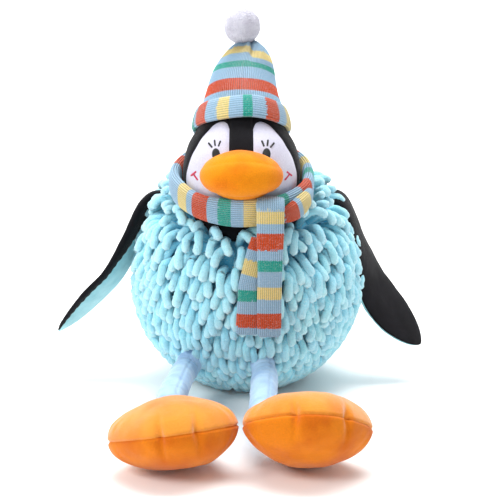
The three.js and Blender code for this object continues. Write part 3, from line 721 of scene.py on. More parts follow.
def tube(line, half_wide, half_thick, around, wale, course, ribs=0.45, square=2.6):
    """The section and weave map of a flattened knitted tube whose ribs run along the line."""
    length = np.concatenate([[0], np.cumsum(np.linalg.norm(np.diff(line, axis=0), axis=1))])
    angle = np.linspace(0, 2 * math.pi, around, endpoint=False)
    c, s = np.cos(angle), np.sin(angle)
    oval = np.abs(c) ** square + np.abs(s) ** square
    oval = oval ** (-1 / square)
    w, h = oval * c, oval * s
    girth = 2 * (2 * half_wide + 2 * half_thick)
    wales = max(int(round(girth / wale)), 4)
    edge = np.concatenate([[0], np.cumsum(np.hypot(np.diff(w * half_wide), np.diff(h * half_thick)))])
    share = edge / (edge[-1] + np.hypot((w[0] - w[-1]) * half_wide, (h[0] - h[-1]) * half_thick))
    u = share * wales
    ridge = ribs * np.abs(np.sin(math.pi * u)) ** 0.7
    return wales, u, length / course, w, h, ridge


def swept(line, across, out, wide, thick, around, wale, course, ribs=0.45):
    """The mesh of a flattened knitted tube with rounded ends and its weave map."""
    _, u, v, w, h, ridge = tube(line, float(np.max(wide)), float(np.max(thick)), around,
                                wale, course, ribs)
    rows = len(line)
    points = (line[:, None] + across[:, None] * (w[None] * wide[:, None])[..., None]
              + out[:, None] * (h[None] * thick[:, None])[..., None])
    push = unit(across[:, None] * (w[None] / wide[:, None])[..., None]
                + out[:, None] * (h[None] / thick[:, None])[..., None])
    points = points + push * ridge[None, :, None]
    uv = np.stack([np.broadcast_to(u[None], (rows, around)),
                   np.broadcast_to(v[:, None], (rows, around))], axis=-1)
    points = np.concatenate([points.reshape(-1, 3), line[:1], line[-1:]])
    uv = np.concatenate([uv.reshape(-1, 2), [[0, v[0]], [0, v[-1]]]])
    c = np.arange(around)
    k = (c + 1) % around
    start = rows * around
    last = (rows - 1) * around
    caps = np.concatenate([np.stack([k, c, np.full(around, start)], axis=1),
                           np.stack([last + c, last + k, np.full(around, start + 1)], axis=1)])
    return points, [grid_faces(rows, around), caps], uv


def stripe_list(places):
    """Alternating colours as (first course, colour). places lists (centre, width, colour)."""
    stops = [(0, KNIT_BLUE)]
    for centre, width, colour in places:
        stops.append((centre - width / 2, colour))
        stops.append((centre + width / 2, KNIT_BLUE))
    return stops


COURSE = 1.5
WALE = 2.3


def build_scarf():
    count, around = 340, 250
    turn = np.linspace(0, 2 * math.pi, count, endpoint=False)
    # angle 0 is at the front, and it grows towards the toy's left
    out = np.stack([np.sin(turn), -np.cos(turn), np.zeros(count)], axis=1)
    wobble = 0.9 * np.sin(3 * turn + 0.6) + 0.5 * np.sin(7 * turn)
    lift = 0.8 * np.sin(2 * turn + 1.1) + 0.4 * np.sin(5 * turn)
    line = out * (SCARF["radius"] + wobble)[:, None] + UP * (SCARF["height"] + lift)[:, None]
    up = np.broadcast_to(UP, (count, 3))
    _, u, v, w, h, ridge = tube(line, SCARF["high"], SCARF["thick"], around, WALE, COURSE,
                                ribs=0.9)
    swell = 1 + 0.05 * np.sin(5 * turn + 2)
    push = unit(np.stack([w / SCARF["high"], h / SCARF["thick"]], axis=1))
    points = (line[:, None]
              + up[:, None] * ((w * SCARF["high"])[None] * swell[:, None] + push[:, 0] * ridge)[..., None]
              + out[:, None] * (h * SCARF["thick"] + push[:, 1] * ridge)[None, :, None])
    points = in_scarf(points.reshape(-1, 3))
    # the wrap closes on itself, so its last row repeats the first one with its own weave map
    points = np.concatenate([points, points[:around]])
    girth = 2 * math.pi * SCARF["radius"] / COURSE
    v = np.linspace(0, girth, count + 1)
    uv = np.stack([np.broadcast_to(u[None], (count + 1, around)),
                   np.broadcast_to(v[:, None], (count + 1, around))], axis=-1).reshape(-1, 2)
    per = girth / 360
    # degrees from the front towards the toy's left, width in degrees, colour
    bands = [(7.6, 13, KNIT_YELLOW), (32, 12, KNIT_GREEN), (63, 17, KNIT_ORANGE), (88, 11, KNIT_GREEN),
             (108, 13, KNIT_YELLOW), (129, 13, KNIT_ORANGE), (151, 11, KNIT_GREEN),
             (173, 13, KNIT_YELLOW), (193, 13, KNIT_ORANGE), (212, 11, KNIT_GREEN),
             (232, 13, KNIT_YELLOW), (251, 14, KNIT_ORANGE), (304, 12, KNIT_YELLOW),
             (324, 13, KNIT_ORANGE), (345.5, 10, KNIT_GREEN)]
    stripes = stripe_list([(d * per, width * per, c) for d, width, c in bands])
    material = knit_material("scarf_knit", stripes, girth)
    mesh = new_mesh("scarf_wrap_knit", points, grid_faces(count + 1, around), uv)
    add_piece("scarf_wrap_knit", mesh, material, "torso", ["scarf_wrap"])

    # the strand that crosses over the wrap, and the fold that the front tail hangs from
    s = np.linspace(0, 1, 70)
    turn = np.radians(62 - 34 * s)
    out = np.stack([np.sin(turn), -np.cos(turn), np.zeros(70)], axis=1)
    line = out * (73 + 2 * np.sin(math.pi * s))[:, None] + UP * (123 - 11 * s)[:, None]
    swell = np.sin(math.pi * (0.16 + 0.72 * s)) ** 0.8
    tilt = unit(np.gradient(line, axis=0))
    across = unit(UP - tilt * (tilt @ UP)[:, None])
    points, faces, uv = swept(line, across, np.cross(tilt, across), 10 * swell, 5 * swell, 130,
                              WALE, COURSE, ribs=0.7)
    total = uv[:, 1].max()
    stripes = [(0, KNIT_BLUE), (0.2 * total, KNIT_YELLOW), (0.48 * total, KNIT_BLUE),
               (0.6 * total, KNIT_ORANGE), (0.9 * total, KNIT_BLUE)]
    material = knit_material("scarf_crossing_knit", stripes, total)
    add_piece("scarf_crossing_knit", new_mesh("scarf_crossing_knit", in_scarf(points), faces, uv),
              material, "torso", ["scarf_crossing"])
    top = vec(*TAIL_FRONT[0])
    line = spline([top + vec(-0.5, 17, -6), top + vec(0, 14, 1.5), top + vec(0, 8.5, 5),
                   top + vec(0, 2.5, 4), top + vec(0, -1.2, -0.5), top + vec(0, -2.6, -6)], 50)
    along = unit(np.gradient(line, axis=0))
    across = unit(vec(1, 0, 0) - along * along[:, :1])
    s = np.linspace(0, 1, 50)
    end = np.sqrt(np.clip(1 - ((s - 0.93) / 0.07).clip(0) ** 2, 0.1, 1))
    mesh = swept(line, across, np.cross(across, along), 12.6 * np.maximum(end, 0.9),
                 2.6 * end + 0.2, 110, WALE, COURSE, ribs=0.7)
    material = knit_material("scarf_fold_knit", [(0, KNIT_BLUE), (99, KNIT_BLUE)], 100)
    add_piece("scarf_fold_knit", new_mesh("scarf_fold_knit", *mesh), material, "torso")


TAIL_FRONT = [(22, -122.5, 207), (22, -124.6, 203), (22, -125.6, 190), (21.8, -125.6, 165),
              (21.6, -125.4, 140), (21.2, -124.6, 114), (21.2, -123.6, 90), (21.2, -123, 82)]
TAIL_REAR = [(13.5, -114.5, 177.5), (13, -115, 174), (9, -117.4, 160), (5, -119.4, 145),
             (1.8, -121.2, 132), (1, -122.9, 114), (0.4, -122.4, 96), (0, -121.8, 84)]


def build_tail(name, body, path, wide, bands):
    line = spline(path, 170)
    rows = len(line)
    along = unit(np.gradient(line, axis=0))
    across = unit(vec(1, 0, 0) - along * along[:, :1])
    out = np.cross(across, along)
    s = np.linspace(0, 1, rows)
    end = np.sqrt(np.clip(1 - (1 - (s / 0.02).clip(0, 1)) ** 2, 0.05, 1))
    end *= np.sqrt(np.clip(1 - (1 - ((1 - s) / 0.02).clip(0, 1)) ** 2, 0.05, 1))
    wide = (wide[0] + (wide[1] - wide[0]) * s + 0.35 * np.sin(9 * s)) * np.maximum(end, 0.85)
    thick = 2.7 * end + 0.1
    line = line + out * (0.5 * np.sin(7 * s) * np.sin(math.pi * s))[:, None]
    points, faces, uv = swept(line, across, out, wide, thick, 130, WALE, COURSE, ribs=0.6)
    length = np.linalg.norm(np.diff(line, axis=0), axis=1).sum()
    courses = length / COURSE
    stripes = stripe_list([(c * courses, w * courses, colour) for c, w, colour in bands])
    material = knit_material(f"{name}_knit", stripes, courses)
    piece = add_piece(f"{name}_knit", new_mesh(f"{name}_knit", points, faces, uv), material, body,
                      [name])


# ------------------------------------------------------------------ head

head_turn = rotation("X", -HEAD_LEAN)
head_points = np.array(HEAD_PROFILE, float)[::-1]
head_curve = spline(np.stack([np.arctan2(head_points[:, 0], head_points[:, 1]) * 60,
                              np.hypot(head_points[:, 0], head_points[:, 1])], axis=1), 200)


def head_radius(polar):
    """The head's distance from its centre at an angle from its own upward axis."""
    return np.interp(polar, head_curve[:, 0] / 60, head_curve[:, 1])


def head_grid(rows, columns, grow=0.0):
    polar = np.linspace(0.001, math.pi - 0.35, rows)
    turn = np.linspace(0, 2 * math.pi, columns, endpoint=False)
    p, t = np.meshgrid(polar, turn, indexing="ij")
    n = np.stack([np.sin(p) * np.sin(t), -np.sin(p) * np.cos(t), np.cos(p)], axis=-1).reshape(-1, 3)
    r = head_radius(p.ravel()) + grow
    return n * r[:, None] * vec(1, HEAD_DEPTH, 1)


def on_head(x, z):
    """Front-of-head points in the frame for places given as x from the middle and height z."""
    low = np.full(len(x), -75.0)
    high = np.zeros(len(x))
    for _ in range(28):
        middle = (low + high) / 2
        local = np.stack([x, middle, z - HEAD_CENTRE[2]], axis=1) @ head_turn / vec(1, HEAD_DEPTH, 1)
        polar = np.arctan2(np.hypot(local[:, 0], local[:, 1]), local[:, 2])
        outside = np.linalg.norm(local, axis=1) > head_radius(polar)
        low = np.where(outside, middle, low)
        high = np.where(outside, high, middle)
    return np.stack([x + HEAD_CENTRE[0], high + HEAD_CENTRE[1], z], axis=1)


def face_outline(side):
    corner = np.array(FACE_OUTLINE, float)
    brow = spline(corner[1:14], 80)
    return np.concatenate([corner[:1], brow, corner[14:]]) * vec(side, 1)


def build_head(black, white):
    local = head_grid(230, 300)
    points = local @ head_turn.T + HEAD_CENTRE
    triangles = split_quads(grid_faces(230, 300))
    # the head stops inside the scarf
    rel = (points - BODY_CENTRE) @ neck_turn
    triangles = triangles[(rel[triangles][:, :, 2] > 112).all(axis=1)]
    flat = points[:, [0, 2]] - vec(HEAD_CENTRE[0], 0)
    front = points[:, 1] < HEAD_CENTRE[1] - 1
    normal = unit(local / vec(1, HEAD_DEPTH, 1) ** 2) @ head_turn.T
    stripe = 11.5 - np.abs(flat[:, 0])
    faces = {}
    for name, side in SIDES:
        d = distance_to_outline(flat, face_outline(side))
        faces[name] = np.where(front, d, -30.0)
    both = np.maximum(faces["left"], faces["right"])
    seam = np.minimum(np.abs(both), np.where(both > 0, 99, np.abs(stripe)))
    middle = np.where((np.abs(flat[:, 0]) < 30) & (both > 0), np.abs(flat[:, 0]), 99)
    seam = np.minimum(seam, middle)
    seam = np.minimum(seam, 12)
    sink = 1.1 * np.exp(-(seam / 1.5) ** 2) + 0.7 * np.exp(-(seam / 5) ** 2)
    lumps = 0.5 * smooth_noise(points, 26, 5)
    points = points + normal * (lumps - sink)[:, None]
    hidden = {"gusset": ["head_stuffing"]}
    panels = [("head_gusset", np.minimum(stripe, -both), black, "black_plush", "gusset")]
    for name, side in SIDES:
        own = np.minimum(-stripe, side * flat[:, 0] + 0.01)
        panels.append((f"head_side_{name}", np.minimum(own, -both), black, "black_plush", name))
        panels.append((f"face_panel_{name}", np.minimum(faces[name], side * flat[:, 0] + 0.001),
                       white, "white_plush", name))
    for node, value, material, slot, tag in panels:
        p, tri, _ = clip(points, triangles, value)
        add_piece(f"{node}_plush", new_mesh(node, p, tri), material, "head",
                  [node, *hidden.get(tag, [])])


def build_beak(material):
    """The padded beak: an upper panel, and an underside joined to it along a rolled seam."""
    rows, columns = 120, 200
    polar = np.linspace(0, math.pi, rows)
    turn = np.linspace(0, 2 * math.pi, columns, endpoint=False)
    p, t = np.meshgrid(polar, turn, indexing="ij")
    n = np.stack([np.sin(p) * np.sin(t), -np.cos(p), np.sin(p) * np.cos(t)], axis=-1).reshape(-1, 3)
    # a wide oval whose two corners are drawn out a little
    size = (np.abs(n[:, 0]) ** 1.8 + np.abs(n[:, 1]) ** 2 + np.abs(n[:, 2]) ** 2) ** -0.5
    local = n * size[:, None] * BEAK["half"]
    points = local + BEAK["centre"]
    height = points[:, 2] - BEAK["seam"] - 0.004 * (points[:, 0] - BEAK["centre"][0]) ** 2
    seam = np.abs(height)
    sink = 1.2 * np.exp(-(seam / 1.2) ** 2) + 0.5 * np.exp(-(seam / 4) ** 2)
    gathers = 0.12 * np.sin(points[:, 0] * 1.1) * np.exp(-(seam / 6) ** 2)
    crease = 0.5 * np.exp(-((points[:, 2] - 250 + 0.006 * (points[:, 0] + 5) ** 2) / 1.6) ** 2)
    lumps = 0.6 * smooth_noise(points, 30, 8) - crease
    points = points + unit(local / BEAK["half"] ** 2) * (lumps - sink + gathers)[:, None]
    triangles = split_quads(grid_faces(rows, columns))
    for node, value, extra in (("beak_upper", height, ["beak_stuffing"]), ("beak_underside", -height, [])):
        p3, tri, _ = clip(points, triangles, value)
        piece = add_piece(f"{node}_plush", new_mesh(node, p3, tri), material, "head",
                          [node, *extra])


def embroider(name, outline, raise_by, spacing, material, replaces, turn=0.0):
    """A raised patch of satin stitch on the head, inside an outline of (x, z) points."""
    outline = np.asarray(outline, float)
    middle = outline.mean(axis=0)
    rings = 6
    shares = np.linspace(0, 1, rings + 1)[1:]
    flat = np.concatenate([middle + (outline - middle) * s for s in shares])
    lift = np.repeat(raise_by * np.sqrt(np.clip(1 - shares ** 3, 0, 1)), len(outline))
    flat = np.concatenate([flat, middle[None]])
    lift = np.concatenate([lift, [raise_by]])
    surface = on_head(flat[:, 0], flat[:, 1])
    out = unit(surface - HEAD_CENTRE)
    points = surface + out * (lift + 0.15)[:, None]
    c, s = math.cos(turn), math.sin(turn)
    uv = np.stack([(flat[:, 0] * c + flat[:, 1] * s) / spacing, flat[:, 1]], axis=1)
    count = len(outline)
    faces = [grid_faces(rings, count), cap_faces(0, count, flip=True)]
    faces[1][:, 2] = len(flat) - 1
    mesh = new_mesh(name, points, faces, uv)
    add_piece(name, mesh, material, "head", replaces)


def stroke_outline(a, b, width):
    a, b = np.array(a, float), np.array(b, float)
    along = unit(b - a)
    side = vec(-along[1], along[0]) * width / 2
    arc = np.linspace(-math.pi / 2, math.pi / 2, 6)
    end = [b + along * math.cos(t) * width / 2 + side * math.sin(t) for t in arc]
    start = [a - along * math.cos(t) * width / 2 - side * math.sin(t) for t in arc]
    return np.array(end + start)


def build_face(black, pink):
    for name, side in SIDES:
        angle = np.linspace(0, 2 * math.pi, 26, endpoint=False)
        oval = np.stack([side * EYE["x"] + EYE["wide"] * np.cos(angle),
                         EYE["z"] + EYE["high"] * np.sin(angle)], axis=1)
        embroider(f"eye_{name}_thread", oval, 0.9, 0.45, black, [f"eye_{name}"])
        lashes = [((21, 260.6), (19.3, 264.8)), ((24.2, 260.9), (24.8, 265.2)),
                  ((27.4, 259.4), (30.4, 262.4))]
        for i, (a, b) in enumerate(lashes):
            line = stroke_outline((side * a[0], a[1]), (side * b[0], b[1]), 1.9)
            embroider(f"eyelash_{name}_{i + 1}_thread", line, 0.5, 0.4, black,
                      [f"eyelash_{name}_{i + 1}"], turn=math.pi / 2)
        for i, (a, b) in enumerate([((41.2, 228.6), (45.4, 233.4)), ((43, 235.6), (47.4, 231.6))]):
            line = stroke_outline((side * a[0], a[1]), (side * b[0], b[1]), 1.7)
            embroider(f"smile_{name}_{i + 1}_thread", line, 0.45, 0.4, pink,
                      [f"smile_{name}"], turn=0.7 * side)


def build_neck(black):
    columns = 160
    turn = np.linspace(0, 2 * math.pi, columns, endpoint=False)
    ring = np.stack([np.sin(turn), -np.cos(turn)], axis=1)

    def band(profile):
        rows = []
        for r, h in profile:
            fold = 0.5 * np.sin(turn * 17) * (1 if r > 50 else 0.3)
            rows.append(np.concatenate([ring * (r + fold[:, None]),
                                        np.full((columns, 1), h)], axis=1))
        return in_neck(np.concatenate(rows))

    profile = spline([(NECK_RADIUS + 1, 108), (52, 106), (56, 103), (57.5, 97), (56.5, 90),
                      (53.5, 84), (51, 80)], 30)
    points = band(profile)
    mesh = new_mesh("neck_yoke_plush", points, grid_faces(len(profile), columns))
    add_piece("neck_yoke_plush", mesh, black, "torso", ["neck_yoke"])
    profile = spline([(NECK_RADIUS, 98.4), (NECK_RADIUS + 0.2, 104), (NECK_RADIUS - 1, 110),
                      (NECK_RADIUS - 6, 114), (30, 116), (12, 117)], 24)
    points = band(profile)
    mesh = new_mesh("neck_collar_plush", points, grid_faces(len(profile), columns))
    add_piece("neck_collar_plush", mesh, black, "neck",
              ["neck_collar", "neck_stuffing"])


# ------------------------------------------------------------------ hat

def build_hat():
    rows, wales, fine = 150, 112, 5
    columns = wales * fine
    turn = np.linspace(0, 2 * math.pi, columns + 1)
    profile = spline(HAT_PROFILE, rows)
    length = np.concatenate([[0], np.cumsum(np.linalg.norm(np.diff(profile, axis=0), axis=1))])
    radius, h = profile[:, :1], profile[:, 1:]
    t = turn[None, :]
    rib = np.abs(np.sin(t * wales / 2)) ** 0.8
    near_top = smoothstep(h, 60, 84)
    gather = near_top * 1.5 * np.sin(9 * t + 0.8) * np.minimum(radius / 20, 1)
    slack = (0.8 * np.sin(2 * t + h / 14) + 0.5 * np.sin(5 * t + h / 9)) * smoothstep(h, 18, 40)
    # the top is pinched in where the pompom pulls on it
    pinch = 3.2 * np.exp(-((t - 0.26) / 0.13) ** 2) * smoothstep(h, 58, 72)
    r = radius + (0.95 * rib - 0.4) * np.minimum(1, radius / 14) + gather + slack * (1 - near_top) - pinch
    across = 5.5 * smoothstep(h, 45, 88)
    points = np.stack([r * np.sin(t) + across, -r * np.cos(t), np.broadcast_to(h, r.shape)], axis=-1)
    slip = 4.2 * smoothstep(t, 0.12, 0.36) * (1 - smoothstep(t, 2.4, 3.4)) * smoothstep(h, 56, 66)
    uv = np.stack([np.broadcast_to(np.arange(columns + 1)[None] / fine, r.shape),
                   length[:, None] / COURSE + slip], axis=-1)
    courses = uv[..., 1].max() + 1
    # millimetres from the brim along the knit, with the width and colour of each band there
    bands = [(35, 14, KNIT_ORANGE), (59, 8, KNIT_GREEN), (78, 10.5, KNIT_YELLOW)]
    stripes = stripe_list([(c / COURSE, w / COURSE, colour) for c, w, colour in bands])
    material = knit_material("hat_knit", stripes, courses)
    mesh = new_mesh("hat_crown_knit", in_hat(points.reshape(-1, 3)),
                    grid_faces(rows, columns + 1, wrap=False), uv.reshape(-1, 2))
    add_piece("hat_crown_knit", mesh, material, "hat", ["hat_crown"])

    # the cuff: the same knit turned on its side, so its ribs run round the head
    high, thick = CUFF["high"], CUFF["thick"]
    section = [(0.4, 1.5), (0.9, -0.9), (2.8, -1.8), (thick, 0.8), (thick + 0.7, 6), (thick + 0.5, 12),
               (thick - 0.3, 17.2), (2.8, high + 0.6), (0.9, high - 0.2), (0.2, high - 2.5)]
    profile = spline(section, 120)
    length = np.concatenate([[0], np.cumsum(np.linalg.norm(np.diff(profile, axis=0), axis=1))])
    crown = spline(HAT_PROFILE, 240)
    base = np.interp(profile[:, 1], crown[:, 1], crown[:, 0])
    base[profile[:, 1] < 0] = HAT_PROFILE[0][0]
    normal = unit(np.gradient(profile, axis=0))
    rib = 0.75 * np.abs(np.sin(math.pi * length / WALE)) ** 0.8
    slack = 0.7 * np.sin(3 * turn + 1) + 0.45 * np.sin(7 * turn)
    r = (base + profile[:, 0] + rib * normal[:, 1])[:, None] + slack[None, :] * 0.7
    z = (profile[:, 1] - rib * normal[:, 0])[:, None] + (0.6 * np.sin(4 * turn + 0.5))[None, :]
    points = np.stack([r * np.sin(turn), -r * np.cos(turn), z], axis=-1)
    around = 2 * math.pi * 48 / COURSE
    uv = np.stack([np.broadcast_to((length / WALE)[:, None], r.shape),
                   np.broadcast_to(turn[None, :] / (2 * math.pi) * around, r.shape)], axis=-1)
    # degrees from the front towards the toy's left, width in degrees, colour
    bands = [(6, 11, KNIT_GREEN), (38.5, 18, KNIT_ORANGE), (76, 26, KNIT_YELLOW),
             (108, 14, KNIT_GREEN), (138, 16, KNIT_ORANGE), (168, 16, KNIT_YELLOW),
             (196, 14, KNIT_GREEN), (224, 16, KNIT_ORANGE), (250, 14, KNIT_YELLOW),
             (277, 14, KNIT_GREEN), (302, 23, KNIT_ORANGE), (337.5, 15, KNIT_YELLOW)]
    per = around / 360
    stripes = stripe_list([(d * per, width * per, c) for d, width, c in bands])
    material = knit_material("cuff_knit", stripes, around)
    mesh = new_mesh("hat_cuff_knit", in_hat(points.reshape(-1, 3)),
                    grid_faces(len(profile), columns + 1, wrap=False)[:, ::-1], uv.reshape(-1, 2))
    add_piece("hat_cuff_knit", mesh, material, "hat", ["hat_cuff"])


def build_pompom(material):
    """A trimmed yarn ball: a lumpy core with thousands of short strand ends close together."""
    centre = in_hat([[0, -POMPOM["forward"], POMPOM["height"]]])[0]
    rng = np.random.default_rng(21)
    count, sides = 5200, 5
    n = sphere_points(count)
    n = unit(n + rng.normal(0, 0.02, n.shape))
    lump = 1 + 0.02 * smooth_noise(n * 18, 7, 4)
    reach = POMPOM["radius"] * lump * rng.uniform(0.975, 1.015, count)
    lean = unit(n + rng.normal(0, 0.22, n.shape))
    a = unit(np.cross(lean, vec(0.2, 0.5, 0.84)))
    b = np.cross(lean, a)
    angle = np.linspace(0, 2 * math.pi, sides, endpoint=False)
    ring = a[:, None] * np.cos(angle)[:, None] + b[:, None] * np.sin(angle)[:, None]
    points = []
    for share, width in [(0.86, 0.62), (0.97, 0.6), (1.0, 0.3)]:
        middle = centre + n * (reach * 0.86)[:, None] + lean * (reach * (share - 0.86))[:, None]
        points.append(middle[:, None] + ring * width)
    points = np.concatenate(points, axis=1).reshape(-1, 3)
    shift = np.arange(count) * sides * 3
    faces = [(grid_faces(3, sides)[None] + shift[:, None, None]).reshape(-1, 4),
             np.arange(sides)[None] + 2 * sides + shift[:, None]]
    rows, columns = 60, 90
    p, t = np.meshgrid(np.linspace(0.001, math.pi - 0.001, rows),
                       np.linspace(0, 2 * math.pi, columns, endpoint=False), indexing="ij")
    m = np.stack([np.sin(p) * np.cos(t), np.sin(p) * np.sin(t), np.cos(p)], axis=-1).reshape(-1, 3)
    core = centre + m * (POMPOM["radius"] * 0.955 * (1 + 0.02 * smooth_noise(m * 18, 7, 4)))[:, None]
    faces.append(grid_faces(rows, columns) + len(points))
    mesh = new_mesh("pompom_yarn", np.concatenate([points, core]), faces)
    add_piece("pompom_yarn", mesh, material, "pompom", ["pompom"])


# ------------------------------------------------------------------ wings

def sampled(values, share):
    return np.interp(share, np.linspace(0, 1, len(values)), values)


def build_wings(black, blue):
    rows, columns = 170, 60
    share = np.linspace(0, 1, rows)
    for name, side in SIDES:
        path = spline(WING_PATH[name], rows)
        along = unit(np.gradient(path, axis=0))
        front = vec(0, -1, 0) - along * (along @ vec(0, -1, 0))[:, None]
        front = unit(front)
        out = unit(np.cross(front, along) * side)
        turn = np.radians(sampled(WING_TURN[name], share))[:, None]
        across = front * np.cos(turn) - out * np.sin(turn)
        normal = out * np.cos(turn) + front * np.sin(turn)
        tip = np.sqrt(np.clip(1 - ((share - 0.94) / 0.06).clip(0) ** 2, 0.0, 1))
        wide = sampled(WING_WIDTH, share)
        wide = np.convolve(np.pad(wide, 8, mode="edge"), np.ones(17) / 17, mode="valid")
        wide = wide * np.maximum(tip, 0.12)
        thick = sampled(WING_THICK, share) * np.maximum(tip, 0.2)
        # each panel goes half way round, and their front seam is turned towards one face
        wrap = np.radians(sampled(WING_WRAP[name], share))[:, None]
        for panel, first, last, material, slot, extra in (
                ("outer", -wrap, 0 * wrap + math.pi, black, "black_plush", [f"wing_padding_{name}"]),
                ("inner", 0 * wrap - math.pi, -wrap, blue, "blue_cloth", [])):
            arc = first + (last - first) * np.linspace(0, 1, columns)[None]
            w, h = np.cos(arc), np.sign(np.sin(arc)) * np.abs(np.sin(arc)) ** 0.8
            seam = np.exp(-np.minimum(arc - first, last - arc) / 0.09)
            points = (path[:, None] + across[:, None] * (wide[:, None] * w)[..., None]
                      + normal[:, None] * (thick[:, None] * h)[..., None])
            facing = unit(across[:, None] * (w / wide[:, None])[..., None]
                          + normal[:, None] * (h / thick[:, None])[..., None])
            pucker = 0.35 * np.sin(share * 150)[:, None] * seam
            lumps = 0.6 * smooth_noise(points.reshape(-1, 3), 20, 6).reshape(rows, columns)
            points = points + facing * (lumps * (1 - seam) + pucker - 0.7 * seam)[..., None]
            mesh = new_mesh(f"wing_{panel}_{name}", points.reshape(-1, 3),
                            grid_faces(rows, columns, wrap=False))
            piece = add_piece(f"wing_{panel}_{name}_cover", mesh, material, f"wing_{name}",
                              [f"wing_{panel}_{name}", *extra])
        # the gathered root that joins the wing to the body
        axis = shoulder_axis(side)
        line = spline([BODY_CENTRE + axis * 97, BODY_CENTRE + axis * 110, BODY_CENTRE + axis * 119], 24)
        u = unit(np.cross(axis, UP))
        v = np.cross(axis, u)
        angle = np.linspace(0, 2 * math.pi, 48, endpoint=False)
        ring = u * np.cos(angle)[:, None] + v * np.sin(angle)[:, None]
        radius = 8.2 + 0.4 * np.sin(angle * 11)
        points = line[:, None] + ring[None] * radius[None, :, None]
        points = np.concatenate([points.reshape(-1, 3), line[-1:]])
        faces = [grid_faces(24, 48), cap_faces(23 * 48, 48)]
        mesh = new_mesh(f"shoulder_root_{name}", points, faces)
        add_piece(f"shoulder_root_{name}_plush", mesh, black, f"shoulder_{name}",
                  [f"shoulder_root_{name}"])


# ------------------------------------------------------------------ legs and feet

def build_legs(blue):
    for name, side in SIDES:
        axis = hip_axis(side)
        inner = BODY_CENTRE + axis * 92
        hip, ankle = leg_line(side, name)
        down = unit(ankle - hip)
        into = unit(FOOT[name][0] - ankle)
        path = spline([inner, inner + axis * 22, hip + down * 3, hip + (ankle - hip) * 0.5 + vec(0, 0, 2),
                       ankle, ankle + unit(down + into) * 9, ankle + unit(down + into) * 9 + into * 7], 150)
        along = unit(np.gradient(path, axis=0))
        u = unit(np.cross(along, UP))
        v = np.cross(along, u)
        columns = 64
        angle = np.linspace(0, 2 * math.pi, columns, endpoint=False)
        ring = u[:, None] * np.cos(angle)[:, None] + v[:, None] * np.sin(angle)[:, None]
        s = np.linspace(0, 1, len(path))
        creased = np.exp(-((0.86 - s) / 0.10) ** 2) + 0.8 * np.exp(-((s - 0.33) / 0.10) ** 2) + 0.25
        wrinkle = creased[:, None] * 0.6 * np.sin(s[:, None] * 88 + 1.6 * np.sin(angle)[None] + side)
        flat = path[:, None] + ring * LEG_RADIUS
        lumps = 0.8 * smooth_noise(flat.reshape(-1, 3), 15, 12).reshape(len(path), columns)
        seam = 0.9 * np.exp(-((angle - 4.2) / 0.07) ** 2)
        points = path[:, None] + ring * (LEG_RADIUS + wrinkle + lumps - seam[None])[..., None]
        points = np.concatenate([points.reshape(-1, 3), path[-1:]])
        mesh = new_mesh(f"leg_{name}", points, [grid_faces(len(path), columns),
                                                cap_faces((len(path) - 1) * columns, columns)])
        leg = bpy.data.objects.new(f"leg_cover_{name}_cloth", mesh)
        bpy.context.scene.collection.objects.link(leg)
        mesh.materials.append(blue)
        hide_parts(f"leg_cover_{name}", f"leg_stuffing_{name}", f"hip_root_{name}")
        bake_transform(leg)


def foot_place(name):
    centre, pitch, roll, spin, _ = FOOT[name]
    return centre, rotation("Y", roll) @ rotation("X", pitch) @ rotation("Z", spin)


